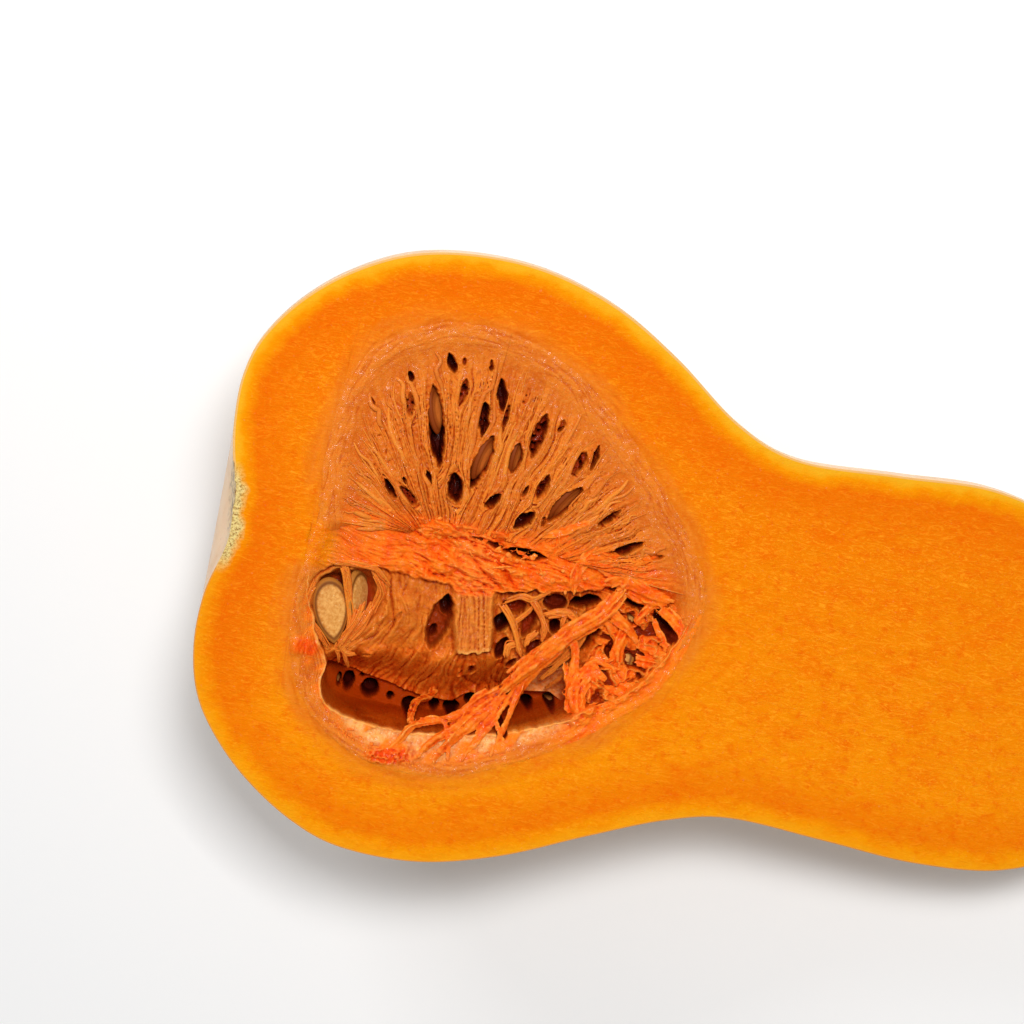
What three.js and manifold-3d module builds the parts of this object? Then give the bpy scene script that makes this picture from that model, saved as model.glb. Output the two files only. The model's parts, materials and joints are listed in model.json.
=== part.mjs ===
// Half a butternut squash, cut lengthwise and lying on its rounded back with the cut face up.
// It is modelled in the frame of its cut, in millimetres: X runs from the blossom end to the
// stem end, Y lies across the cut and Z points out of it. The last lines tip it to its rest.
import * as THREE from 'three';
import * as BufferGeometryUtils from 'three/addons/utils/BufferGeometryUtils.js';
import Module from 'manifold-3d';

const wasm = await Module();
wasm.setup();

// Outline of the cut from the blossom end to the stem end, as pairs of a point on its upper
// edge and the point across from it on its lower edge
const OUTLINE = [
  [[-42.1, 5.9], [-42.1, 5.9]],
  [[-44.3, 13.9], [-41.8, -4.7]],
  [[-45.3, 21.2], [-44.5, -16.0]],
  [[-45.2, 29.6], [-44.8, -26.8]],
  [[-42.8, 37.9], [-42.4, -37.1]],
  [[-36.6, 46.9], [-37.2, -45.4]],
  [[-27.7, 54.7], [-28.9, -53.6]],
  [[-16.0, 60.8], [-17.9, -60.7]],
  [[-2.2, 63.4], [-6.5, -64.5]],
  [[13.0, 62.8], [10.0, -64.6]],
  [[28.4, 58.2], [27.1, -60.1]],
  [[42.9, 50.0], [44.5, -52.4]],
  [[57.9, 39.4], [60.0, -46.0]],
  [[71.9, 34.5], [73.5, -43.0]],
  [[93.2, 35.4], [93.5, -44.0]],
  [[113.0, 36.4], [114.0, -45.2]],
  [[129.0, 32.4], [133.0, -43.2]],
  [[142.5, 23.0], [147.5, -35.5]],
  [[150.0, 9.5], [155.0, -21.5]],
  [[149.5, 3.5], [153.5, -13.0]],
  [[150.0, -4.5], [150.0, -4.5]],
];
const DEPTH_TO_WIDTH = 0.97; // how deep the fruit is for its width
const PAST_MIDDLE = 0.08; // how far the cut lies past the middle, for a half width of 1
const FRUIT_SIDES = 52;
const FRUIT_ROWS = 48;

// Rim of the seed cavity in the cut face, clockwise from the stem side
const CAVITY_MIDDLE = [14, 0];
const CAVITY_RIM = [
  [57.5, 0], [52.5, -17], [42, -28], [27, -38], [10, -44.6], [-7.5, -43], [-20, -33], [-25, -17],
  [-23.3, 3], [-24.2, 20], [-20.2, 37.8], [-6, 47.2], [10, 47], [25.4, 40], [41.8, 24.9], [54, 9.4],
];
const CAVITY_DEPTH = 42;
const CAVITY_SIDES = 40;
const CAVITY_ROWS = 26;
const RIM_CUT_RISE = 6; // how far the cutter for the cavity stands out of the cut

// The pulp fills the cavity except for a pocket along its lower side
const GAP = 0.35; // between neighbouring pieces, and from the pulp up to the cut
const PULP_STEP = 3.3; // spacing of the points of its open side
const FAN_DROP = [1.2, 3.4]; // depth of the upper fan below the cut, at the rim and at its root
const FAN_REACH = 40; // from its root to the rim
const BAND = { y: 3, half: 6.5, drop: 2.2 }; // torn ridge across the cavity at the fan's root
const LUMPS = [[0.6, 0.9, 1.3], [0.5, 0.5, -1.9]]; // on it: height, and waves along x and y
// Curtain: its levels across the cut, and its depths at the top, over and under the ledge, and
// at the foot. Each passes to the next over the fade.
const CURTAIN = {
  top: -4, ledge: -19.5, foot: -35, fade: 3, under: 3.1, shallow: 8.5, step: 14, deep: 26,
};
const POCKET = { deep: CAVITY_DEPTH + 10, fade: 2, ends: [38, 32] }; // below the curtain's foot
const SEED_HOLLOW = { x: -16.4, y: -14.6, width: 14.5, height: 21.5, deep: 12.5 };
const STEM_SIDE_HOLLOW = { x: 36, y: -3.5, width: 9, height: 6, deep: 13 };
const TANGLE = { x: 47, y: -10, width: 26, height: 34, deep: 4.2, lumps: 1.5 };
// How much of each feature slopes to what lies round it
const SOFT_EDGE = { hollow: 0.25, sideHollow: 0.3, tangle: 0.35, band: 0.6 };
const PAST_CAVITY = { beside: 2, top: 3, below: 5 }; // the block of pulp, before it is cut to fit

// Almond slots in the fan: middle, length, width, and 1 where one holds a seed on edge.
// Each points at the fan's root.
const FAN_ROOT = [8, 4];
const SLOT_DEEP = 9.5;
const SLOT_RISE = 2; // how far the cutter for a slot stands out of the pulp
const SLOT_SEGMENTS = 3;
const FAN_SLOTS = [
  [-5.8, 31.0, 17, 4.6, 1],
  [-4.6, 20.2, 8, 3.4, 0],
  [-3.2, 40.6, 7, 3.4, 0],
  [0.4, 34.4, 8, 3.0, 0],
  [6.6, 22.6, 15, 4.6, 1],
  [5.8, 31.0, 8, 3.4, 0],
  [8.2, 36.0, 10, 3.8, 0],
  [14.0, 24.0, 14, 4.4, 1],
  [17.0, 29.2, 9, 3.6, 0],
  [25.8, 17.6, 15, 4.4, 1],
  [28.0, 26.0, 8, 3.4, 0],
  [-11.0, 32.6, 8, 3.2, 0],
  [-11.2, 13.4, 7, 3.0, 0],
  [3.0, 12.6, 6, 3.2, 0],
];
// Long dark slits in the band: middle, length, width and turn
const BAND_SLITS = [
  [12.5, 4.6, 13, 3.2, -0.12],
  [24.0, 3.2, 12, 3.4, -0.2],
];
// Dark windows in the curtain and arches along its foot: middle, length, width
const CURTAIN_WINDOWS = [
  [4.2, -13.4, 11, 5.6],
  [18.6, -13.0, 13, 5.4],
  [14.0, -23.4, 5, 3.2],
  [24.8, -8.6, 8, 4.2],
];
const ARCHES = { from: -9.5, to: 33, count: 9, y: -32.2, rise: 3.0, width: 3.6, height: 6.4 };

// Fibres: a fan on the upper pulp, a torn bundle that hangs across the pocket and a tangle.
// Fan fibres run in directions between two turns, from near the root to short of the rim, and
// their ends sink into the pulp.
const FAN_FIBRES = {
  count: 26, turns: [0.2, 3.0], start: 6, stagger: 3, short: 2.5, sink: 0.6, thick: [1.5, 1.1],
  sides: 4, spans: 5,
};
const BESIDE_SLOT = { reach: 0.75, room: 0.5 };
const TORN_SIDES = 5;
const TORN_STEPS = 7;
// Each torn fibre: thickness at its two ends, then the points that it runs through
const TORN_FIBRES = [
  [2.6, 2.4, [53, 7, -5], [44, 1, -3.6], [34, -9, -3.2], [24, -20, -4.6], [19, -26.5, -5.6]],
  [2.0, 1.2, [46, 2, -5], [36, -8, -5.0], [27, -18.5, -6.4], [20, -29, -6.0], [14.5, -40, -3.8]],
  [1.7, 1.0, [24, -20, -5.5], [21, -29, -5.4], [20.4, -38.6, -3.6]],
  [1.6, 1.0, [19, -26, -6], [12, -32, -5.6], [9, -34.6, -5.4], [3.4, -42.6, -3.2]],
  [1.3, 0.9, [7.5, -26, -14], [8.4, -31, -8.6], [9, -34.6, -5.4], [8.6, -41.6, -3.4]],
  [2.2, 1.6, [50, 20, -4], [49, 9, -3.2], [47, -1, -4], [52.5, -8, -6]],
  [1.8, 1.3, [42, 8, -3], [49, 4, -2.6], [56, 2, -3.4]],
  [1.8, 1.3, [37, -9, -4.5], [37.5, -16, -4], [34, -24, -4.8], [33.4, -29.4, -7]],
  [1.8, 1.2, [39, -4, -4.5], [44, -9, -3.6], [44.6, -16, -4.4], [40, -23, -5], [38, -28, -6]],
  [1.7, 1.2, [46, 0, -4.5], [51, -5.5, -4], [52.5, -13, -5], [47, -20, -4.4]],
  [1.5, 1.1, [30, -8, -6], [30.5, -17, -7], [26, -26, -12]],
  [1.4, 1.0, [34, 3, -4], [30, -4, -5], [31, -12, -6.5], [35, -18, -6]],
];

// Seeds: length, width and thickness of a full one, and the two that lie in the seed hollow,
// each with its middle, its turn in the cut and its lean about its own length
const SEED = { length: 14.2, width: 7.8, thick: 2.7, wideEnd: 1.05, point: 0.72, blunt: 0.85 };
const SLOT_SEED_SCALE = 0.82;
const SLOT_SEED_DROP = 5.0;
const HOLLOW_SEEDS = [
  [-18.6, -14.4, -6.4, 0.04, 0.12],
  [-12.6, -12.6, -7.6, -0.1, 1.05],
];
const TANGLE_SEEDS = [
  [47.4, -8.4, -5.0, 0.9, 0.35],
  [42.6, -17.4, -5.4, 2.4, 0.4],
];
const SEED_SIDES = 12;
const SEED_ROWS = 8;

// Stem stub: woody and five-ridged, cut with the fruit. It is narrowest at the waist and widens
// to its tip; the shares are of its length.
const STEM = {
  y: -5.5, from: 144, to: 169, base: 12.5, neck: 8.4, tip: 9.4, ridges: 5, relief: 0.1,
  waist: 0.6, flare: 0.9, cap: 0.03, corner: 6, gap: 0.45,
};
const STEM_SIDES = 30;
const STEM_ROWS = 12;

// Rest: the fruit lies on a small flat under the bulb and one under the neck
const REST_TILT = 12.7; // degrees that the cut face drops towards the stem
const FLAT_SHAVE = 0.9; // how much of the round back the flats take off
const FAR = 400;
const MERGE = 1e-4; // points closer than this are one
const EVEN = 1e-6;
const TIDY = 0.02; // how far a surface may move as the slivers that cuts leave are merged

const flesh = new THREE.MeshStandardMaterial({ name: 'flesh', color: 0xe87a10, roughness: 0.45 });
const pulp = new THREE.MeshStandardMaterial({ name: 'pulp', color: 0xd86a28, roughness: 0.5 });
const seed = new THREE.MeshStandardMaterial({ name: 'seed', color: 0xcba06a, roughness: 0.55 });
const stem = new THREE.MeshStandardMaterial({ name: 'stem', color: 0x9a7b4c, roughness: 0.9 });
for (const material of [flesh, pulp, seed, stem]) material.metalness = 0;

// A sphere's points, moved: place(along, angle) gives a point for how far along it lies, from
// 0 at one pole to 1 at the other, and its angle round the axis
function movedSphere(sides, rows, place) {
  const geometry = new THREE.SphereGeometry(1, sides, rows);
  const { position, uv } = geometry.attributes;
  for (let i = 0; i < position.count; i += 1) {
    const point = place(1 - uv.getY(i), Math.PI * (1 - 2 * uv.getX(i)));
    position.setXYZ(i, point.x, point.y, point.z);
  }
  return geometry;
}

// A solid from a geometry's points, merged, without faces of no size
function solidOf(geometry) {
  geometry.deleteAttribute('normal');
  geometry.deleteAttribute('uv');
  const merged = BufferGeometryUtils.mergeVertices(geometry, MERGE);
  const faces = [];
  const index = merged.index.array;
  for (let i = 0; i < index.length; i += 3) {
    const [a, b, c] = index.slice(i, i + 3);
    if (a !== b && b !== c && c !== a) faces.push(a, b, c);
  }
  return new wasm.Manifold(new wasm.Mesh({
    numProp: 3,
    vertProperties: new Float32Array(merged.attributes.position.array),
    triVerts: new Uint32Array(faces),
  }));
}

function meshOf(name, solid, material) {
  const { vertProperties, triVerts } = solid.getMesh();
  const geometry = new THREE.BufferGeometry();
  geometry.setAttribute('position', new THREE.BufferAttribute(vertProperties, 3));
  geometry.setIndex(new THREE.BufferAttribute(triVerts, 1));
  geometry.computeVertexNormals();
  const mesh = new THREE.Mesh(geometry, material);
  mesh.name = name;
  return mesh;
}

const joined = (solids) => solids.reduce((sum, solid) => sum.add(solid));

// The largest body of a solid, without the scraps that a cut leaves
function largest(solid) {
  return solid.decompose().reduce((best, body) => (body.volume() > best.volume() ? body : best));
}

const clamp01 = (x) => Math.min(1, Math.max(0, x));
const smooth = (from, to, x) => THREE.MathUtils.smoothstep((x - from) / (to - from), 0, 1);
const mix = THREE.MathUtils.lerp;

function seededRandom(start) {
  let state = start;
  return () => {
    state = (state * 1664525 + 1013904223) % 4294967296;
    return state / 4294967296;
  };
}

// The half space above or below a level, as a big box
function slab(low, high) {
  const box = new THREE.BoxGeometry(FAR, FAR, high - low);
  box.translate(0, 0, (low + high) / 2);
  return solidOf(box);
}

const curveThrough = (points, closed = false) => new THREE.CatmullRomCurve3(
  points.map(([x, y, z = 0]) => new THREE.Vector3(x, y, z)), closed, 'catmullrom', 0.5);

// The whole fruit before it is cut
function wholeFruit() {
  const upper = curveThrough(OUTLINE.map(([top]) => top));
  const lower = curveThrough(OUTLINE.map(([, bottom]) => bottom));
  const widen = 1 / Math.sqrt(1 - PAST_MIDDLE ** 2);
  return solidOf(movedSphere(FRUIT_SIDES, FRUIT_ROWS, (along, angle) => {
    const top = upper.getPoint(along);
    const bottom = lower.getPoint(along);
    const half = top.clone().sub(bottom).multiplyScalar(0.5);
    const depth = DEPTH_TO_WIDTH * half.length();
    const point = top.add(bottom).multiplyScalar(0.5).addScaledVector(half, widen * Math.cos(angle));
    point.z = depth * (Math.sin(angle) - PAST_MIDDLE);
    return point;
  }));
}

// The cavity, drawn in by some millimetres on all sides. Above the cut it ends flat, or rises
// past it to cut the rim cleanly.
const rimCurve = curveThrough(CAVITY_RIM, true);
const rimPoints = rimCurve.getPoints(180);
const cavityMiddle = new THREE.Vector3(...CAVITY_MIDDLE, 0);

function cavity(inset, top) {
  return solidOf(movedSphere(CAVITY_SIDES, CAVITY_ROWS, (along, angle) => {
    const reach = rimCurve.getPoint((angle / (2 * Math.PI) + 1) % 1).sub(cavityMiddle);
    reach.multiplyScalar(Math.sin(Math.PI * along) * (1 - inset / reach.length()));
    const level = Math.cos(Math.PI * along);
    const point = cavityMiddle.clone().add(reach);
    point.z = level > EVEN ? top * Math.min(1, 3 * level) : level * (CAVITY_DEPTH - inset);
    if (Math.abs(level) <= EVEN) point.z = Math.min(0, top);
    return point;
  }));
}

// How much a point lies inside an ellipse, from 0 at its edge to 1 at its middle
function within({ x, y, width, height }, px, py) {
  return clamp01(1 - Math.hypot((px - x) / (width / 2), (py - y) / (height / 2)));
}

// Depth of the pulp's open side below the cut
function pulpDepth(x, y) {
  const fromRoot = clamp01(Math.hypot(x - FAN_ROOT[0], y - FAN_ROOT[1]) / FAN_REACH);
  const fan = mix(FAN_DROP[1], FAN_DROP[0], fromRoot);
  const { top, ledge, foot, fade, under, shallow, step, deep } = CURTAIN;
  const upperCurtain = mix(under, shallow, smooth(top, ledge, y));
  const lowerCurtain = mix(step, deep, smooth(ledge - fade, foot, y));
  const curtain = mix(lowerCurtain, upperCurtain, smooth(ledge - fade, ledge, y));
  let depth = mix(curtain, fan, smooth(top, BAND.y, y));
  const ridge = clamp01(1 - Math.abs(y - BAND.y) / BAND.half);
  const lumps = LUMPS.reduce((sum, [size, alongX, alongY]) => (
    sum + size * Math.sin(alongX * x + alongY * y)), 0);
  depth = mix(depth, BAND.drop + lumps, smooth(0, SOFT_EDGE.band, ridge));
  depth = mix(depth, TANGLE.deep + TANGLE.lumps * lumps, smooth(0, SOFT_EDGE.tangle, within(TANGLE, x, y)));
  if (y < foot) {
    depth = mix(depth, POCKET.deep, smooth(foot, foot - POCKET.fade, y) * smooth(...POCKET.ends, x));
  }
  depth = mix(depth, SEED_HOLLOW.deep, smooth(0, SOFT_EDGE.hollow, within(SEED_HOLLOW, x, y)));
  return mix(depth, STEM_SIDE_HOLLOW.deep, smooth(0, SOFT_EDGE.sideHollow, within(STEM_SIDE_HOLLOW, x, y)));
}

// The pulp as a block with a formed top, cut to the cavity's shape later
function pulpMass() {
  const box = new THREE.Box2();
  CAVITY_RIM.forEach(([x, y]) => box.expandByPoint(new THREE.Vector2(x, y)));
  box.expandByScalar(PAST_CAVITY.beside);
  const size = box.getSize(new THREE.Vector2());
  const middle = box.getCenter(new THREE.Vector2());
  const bottom = -(CAVITY_DEPTH + PAST_CAVITY.below);
  const geometry = new THREE.BoxGeometry(
    size.x, size.y, 2, Math.round(size.x / PULP_STEP), Math.round(size.y / PULP_STEP), 1);
  geometry.translate(middle.x, middle.y, 0);
  const { position } = geometry.attributes;
  for (let i = 0; i < position.count; i += 1) {
    const deepest = CAVITY_DEPTH + PAST_CAVITY.top;
    const top = -Math.min(pulpDepth(position.getX(i), position.getY(i)), deepest);
    position.setZ(i, position.getZ(i) > 0 ? top : bottom);
  }
  return solidOf(geometry);
}

// A fibre along a curve: round, pointed at both ends, thickness from first to last
function fibre(curve, first, last, sides, steps) {
  const frames = curve.computeFrenetFrames(steps, false);
  return solidOf(movedSphere(sides, steps, (along, angle) => {
    const i = Math.round(along * steps);
    const radius = 0.5 * mix(first, last, along) * Math.sin(Math.PI * along) ** 0.4;
    return curve.getPoint(along)
      .addScaledVector(frames.normals[i], radius * Math.cos(angle))
      .addScaledVector(frames.binormals[i], radius * Math.sin(angle));
  }));
}

// An almond pit with its long axis turned, cut from above the pulp down to the slots' depth
function almondPit(x, y, length, width, turn) {
  const shape = new THREE.Shape();
  shape.moveTo(-length / 2, 0);
  shape.quadraticCurveTo(0, width, length / 2, 0);
  shape.quadraticCurveTo(0, -width, -length / 2, 0);
  const pit = new THREE.ExtrudeGeometry(
    shape, { depth: SLOT_DEEP + SLOT_RISE, bevelEnabled: false, curveSegments: SLOT_SEGMENTS });
  pit.rotateZ(turn);
  pit.translate(x, y, -pulpDepth(x, y) - SLOT_DEEP);
  return solidOf(pit);
}

const towardsRoot = (x, y) => Math.atan2(y - FAN_ROOT[1], x - FAN_ROOT[0]);

// The fan's fibres part round the slots: a point that would cross one is moved beside it
function besideSlots(point) {
  for (const [x, y, length, width] of FAN_SLOTS) {
    const turn = towardsRoot(x, y);
    const along = (point.x - x) * Math.cos(turn) + (point.y - y) * Math.sin(turn);
    const across = (point.y - y) * Math.cos(turn) - (point.x - x) * Math.sin(turn);
    const part = 1 - (along / (BESIDE_SLOT.reach * length)) ** 2;
    if (part > 0) {
      const room = (width / 2 + BESIDE_SLOT.room) * part;
      const moved = Math.sign(across || 1) * Math.hypot(across, room);
      point.x += (across - moved) * Math.sin(turn);
      point.y -= (across - moved) * Math.cos(turn);
    }
  }
  return point;
}

function fanFibres() {
  const random = seededRandom(7);
  const { count, turns, start, stagger, short, sink, thick, sides, spans } = FAN_FIBRES;
  const fibres = [];
  for (let i = 0; i < count; i += 1) {
    const turn = mix(...turns, (i + 0.6 * random()) / count);
    const from = start + stagger * random();
    const rim = rimDistance(turn);
    const points = [];
    for (let step = 0; step <= spans; step += 1) {
      const reach = mix(from, rim - short, step / spans);
      const x = FAN_ROOT[0] + reach * Math.cos(turn);
      const y = FAN_ROOT[1] + reach * Math.sin(turn);
      const point = besideSlots(new THREE.Vector3(x, y, 0));
      point.z = -pulpDepth(point.x, point.y) - (step % spans === 0 ? sink : 0);
      points.push(point);
    }
    fibres.push(fibre(new THREE.CatmullRomCurve3(points), ...thick, sides, spans + 1));
  }
  return fibres;
}

// Distance from the fan's root to the cavity's rim in one direction
function rimDistance(turn) {
  let best = 0;
  let nearest = Infinity;
  for (const point of rimPoints) {
    const off = Math.abs(Math.atan2(point.y - FAN_ROOT[1], point.x - FAN_ROOT[0]) - turn);
    if (off < nearest) {
      nearest = off;
      best = Math.hypot(point.x - FAN_ROOT[0], point.y - FAN_ROOT[1]);
    }
  }
  return best;
}

function tornFibres() {
  return TORN_FIBRES.map(([first, last, ...points]) => (
    fibre(curveThrough(points), first, last, TORN_SIDES, TORN_STEPS)));
}

function pits() {
  const fan = FAN_SLOTS.map(([x, y, length, width]) => (
    almondPit(x, y, length, width, towardsRoot(x, y))));
  const band = BAND_SLITS.map(([x, y, length, width, turn]) => (
    almondPit(x, y, length, width, turn)));
  const windows = CURTAIN_WINDOWS.map(([x, y, length, width]) => (
    almondPit(x, y, length, width, Math.PI / 2)));
  const arches = [];
  for (let i = 0; i < ARCHES.count; i += 1) {
    const share = i / (ARCHES.count - 1);
    const x = mix(ARCHES.from, ARCHES.to, share);
    const y = ARCHES.y - ARCHES.rise * Math.sin(Math.PI * share);
    arches.push(almondPit(x, y, ARCHES.height, ARCHES.width, Math.PI / 2));
  }
  return [...fan, ...band, ...windows, ...arches];
}

function pulpSolid() {
  const mass = joined([pulpMass(), ...fanFibres(), ...tornFibres()]);
  return largest(mass.subtract(joined(pits())).intersect(cavity(GAP, -GAP)));
}

// A seed: a flat drop with its point at -Y, its broad faces towards +Z and -Z
function placedSeed(x, y, z, turn, lean, scale) {
  const { length, width, thick, wideEnd, point, blunt } = SEED;
  const geometry = movedSphere(SEED_SIDES, SEED_ROWS, (along, angle) => {
    const swell = Math.sin(Math.PI * along) ** blunt * mix(wideEnd, point, along);
    return new THREE.Vector3(
      scale * swell * Math.cos(angle) * (width / 2),
      scale * length * (0.5 - along),
      scale * swell * Math.sin(angle) * (thick / 2),
    );
  });
  geometry.rotateY(lean);
  geometry.rotateZ(turn);
  geometry.translate(x, y, z);
  return solidOf(geometry);
}

function seedSolids() {
  const loose = [...HOLLOW_SEEDS, ...TANGLE_SEEDS].map((spot) => placedSeed(...spot, 1));
  const inSlots = FAN_SLOTS.filter(([, , , , hasSeed]) => hasSeed).map(([x, y]) => (
    placedSeed(x, y, -pulpDepth(x, y) - SLOT_SEED_DROP, towardsRoot(x, y) - Math.PI / 2,
      Math.PI / 2, SLOT_SEED_SCALE)));
  return [...loose, ...inSlots];
}

// Room for a seed: the seed, grown by the gap
function seedRoom(seedBody) {
  const low = seedBody.boundingBox().min;
  const high = seedBody.boundingBox().max;
  const middle = low.map((value, i) => (value + high[i]) / 2);
  const grow = low.map((value, i) => 1 + (2 * GAP) / (high[i] - value));
  return seedBody.translate(middle.map((value) => -value)).scale(grow).translate(middle);
}

function stemSolid() {
  const { y, from, to, base, neck, tip, ridges, relief, waist, flare, cap, corner } = STEM;
  return solidOf(movedSphere(STEM_SIDES, STEM_ROWS, (along, angle) => {
    const narrowed = mix(base, neck, smooth(0, waist, along));
    const thick = along < waist ? narrowed : mix(neck, tip, smooth(waist, flare, along));
    const ridge = 1 + relief * Math.cos(ridges * angle);
    const radius = thick * ridge * Math.min(1, corner * Math.sin(Math.PI * along));
    return new THREE.Vector3(
      mix(from, to, clamp01((along - cap) / (1 - 2 * cap))),
      y + radius * Math.cos(angle),
      radius * Math.sin(angle),
    );
  }));
}

const whole = wholeFruit();
const tilt = THREE.MathUtils.degToRad(REST_TILT);

// Shave the two lowest places flat, in the way that the half lies
const lying = whole.rotate([0, REST_TILT, 0]);
const floor = lying.boundingBox().min[2] + FLAT_SHAVE;
const shaved = lying.subtract(slab(floor - FAR, floor)).rotate([0, -REST_TILT, 0]);

const below = slab(-FAR, 0);
const fleshHalf = shaved.intersect(below).subtract(cavity(0, RIM_CUT_RISE)).simplify(TIDY);
const seedBodies = seedSolids();
const pulpBody = largest(pulpSolid().subtract(joined(seedBodies.map(seedRoom)))).simplify(TIDY);
const stemBody = largest(stemSolid().intersect(below).subtract(whole.translate([STEM.gap, 0, 0])));

const lyingHalf = new THREE.Group();
lyingHalf.rotation.y = tilt;
lyingHalf.add(meshOf('squash_half', fleshHalf, flesh));
lyingHalf.add(meshOf('pulp', pulpBody, pulp));
seedBodies.forEach((body, i) => {
  lyingHalf.add(meshOf(`seed_${String(i + 1).padStart(2, '0')}`, body, seed));
});
lyingHalf.add(meshOf('stem_stub', stemBody, stem));

// The origin lies on the surface below, under the middle of the whole
const squash = new THREE.Group();
squash.add(lyingHalf);
squash.updateMatrixWorld(true);
const bounds = new THREE.Box3().setFromObject(squash, true);
lyingHalf.position.set(
  -(bounds.min.x + bounds.max.x) / 2, -(bounds.min.y + bounds.max.y) / 2, -bounds.min.z);

export default squash;
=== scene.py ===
"""Half a butternut squash with its cut face up: moist flesh under a waxy rind, a fan of fibres
with slots and seeds, a torn band, a curtain of membrane over the open pocket, and a woody stub.

Shapes are worked out in millimetres in the frame of the cut: u runs from the blossom end to
the stem, v lies across the cut and w points out of it."""
import json
import math

import bmesh
import bpy
import numpy as np
from mathutils import Matrix, Vector


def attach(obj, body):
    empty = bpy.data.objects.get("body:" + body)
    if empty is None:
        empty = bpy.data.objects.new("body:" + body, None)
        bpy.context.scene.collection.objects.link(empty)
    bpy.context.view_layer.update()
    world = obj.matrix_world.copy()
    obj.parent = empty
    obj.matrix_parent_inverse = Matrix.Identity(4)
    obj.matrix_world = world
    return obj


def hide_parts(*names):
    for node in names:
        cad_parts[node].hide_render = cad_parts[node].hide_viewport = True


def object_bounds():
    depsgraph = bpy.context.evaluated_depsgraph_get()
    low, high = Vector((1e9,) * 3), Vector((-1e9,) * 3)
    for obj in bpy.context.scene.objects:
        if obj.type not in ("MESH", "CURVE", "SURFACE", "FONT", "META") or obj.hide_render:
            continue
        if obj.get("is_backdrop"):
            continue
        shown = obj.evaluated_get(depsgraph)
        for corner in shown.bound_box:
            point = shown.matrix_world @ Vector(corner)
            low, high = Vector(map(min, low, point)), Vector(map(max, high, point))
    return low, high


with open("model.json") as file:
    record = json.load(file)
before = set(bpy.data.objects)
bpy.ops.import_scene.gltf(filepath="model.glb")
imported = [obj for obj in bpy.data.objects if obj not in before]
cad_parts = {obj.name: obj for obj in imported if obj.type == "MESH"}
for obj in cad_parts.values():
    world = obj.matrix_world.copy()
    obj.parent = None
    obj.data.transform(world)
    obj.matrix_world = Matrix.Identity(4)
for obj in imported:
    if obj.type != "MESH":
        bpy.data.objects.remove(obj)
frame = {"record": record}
CAD_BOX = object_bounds()

bl_info = {
    "name": "Halved Butternut Squash",
    "version": (1, 0, 0),
    "blender": (4, 5, 0),
    "location": "View3D > Sidebar > Squash",
    "description": "Builds half a butternut squash with its pulp, seeds and stem stub",
    "category": "Object",
}

# The cut's frame, from the mount on the neck's cut face
MM = 0.001
CUT_MOUNT_AT = (100.0, -4.5)  # where that mount lies on the cut
CUT_MOUNT = next(m for m in frame["record"]["mounts"] if m["name"] == "cut_face")
OUT_OF_CUT = Vector(CUT_MOUNT["axis"]).normalized()
ACROSS_CUT = Vector((0, 1, 0))
ALONG_CUT = ACROSS_CUT.cross(OUT_OF_CUT).normalized()
CUT_ORIGIN = (Vector(CUT_MOUNT["pos_m"])
              - MM * (CUT_MOUNT_AT[0] * ALONG_CUT + CUT_MOUNT_AT[1] * ACROSS_CUT))
CUT_TILT = math.atan2(OUT_OF_CUT.x, OUT_OF_CUT.z)
TO_ROW = np.array([ALONG_CUT, ACROSS_CUT, OUT_OF_CUT]) * MM

# The picture: where the cut's origin shows, how large, and how the cut lies to the view
PICTURE = 1024
SENSOR = 36.0
ORIGIN_SHOWS_AT = (430.0, 556.0)
PIXELS_PER_MM = 4.8
LENGTH_RUNS_DOWN = math.radians(11.5)
SEEN_FROM_ABOVE = math.radians(8)
SEEN_FROM_LEFT = math.radians(3)

# Outline of the cut: points on its upper edge and those across from them on its lower edge
UPPER_EDGE = [
    (-42.1, 5.9), (-44.3, 13.9), (-45.3, 21.2), (-45.2, 29.6), (-42.8, 37.9), (-36.6, 46.9),
    (-27.7, 54.7), (-16.0, 60.8), (-2.2, 63.4), (13.0, 62.8), (28.4, 58.2), (42.9, 50.0),
    (57.9, 39.4), (71.9, 34.5), (93.2, 35.4), (113.0, 36.4), (129.0, 32.4), (142.5, 23.0),
    (150.0, 9.5), (149.5, 3.5), (150.0, -4.5)]
LOWER_EDGE = [
    (-42.1, 5.9), (-41.8, -4.7), (-44.5, -16.0), (-44.8, -26.8), (-42.4, -37.1), (-37.2, -45.4),
    (-28.9, -53.6), (-17.9, -60.7), (-6.5, -64.5), (10.0, -64.6), (27.1, -60.1), (44.5, -52.4),
    (60.0, -46.0), (73.5, -43.0), (93.5, -44.0), (114.0, -45.2), (133.0, -43.2), (147.5, -35.5),
    (155.0, -21.5), (153.5, -13.0), (150.0, -4.5)]
BLOSSOM = np.array([*UPPER_EDGE[0], 0.0])
DEPTH_TO_WIDTH = 0.97  # of the round back
PAST_MIDDLE = 0.08  # how far the back goes on past its widest place

# Rim of the seed cavity, clockwise from the stem side
CAVITY_MIDDLE = np.array([14.0, 0.0])
CAVITY_RIM = [
    (57.5, 0), (52.5, -17), (42, -28), (27, -38), (10, -44.6), (-7.5, -43), (-20, -33),
    (-25, -17), (-23.3, 3), (-24.2, 20), (-20.2, 37.8), (-6, 47.2), (10, 47), (25.4, 40),
    (41.8, 24.9), (54, 9.4)]
CAVITY_DEPTH = 42.0

# Fan: strands start along the band, at these places for directions that are evenly spaced
FAN_ROOT = np.array([6.0, 4.0])
FAN_SPREAD = (math.radians(-10), math.radians(190))
FAN_SEAM = math.radians(88)
STRAND_STARTS = [34, 27, 20, 13.5, 4.5, 1, -2, -3.5, -4.5]
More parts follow.
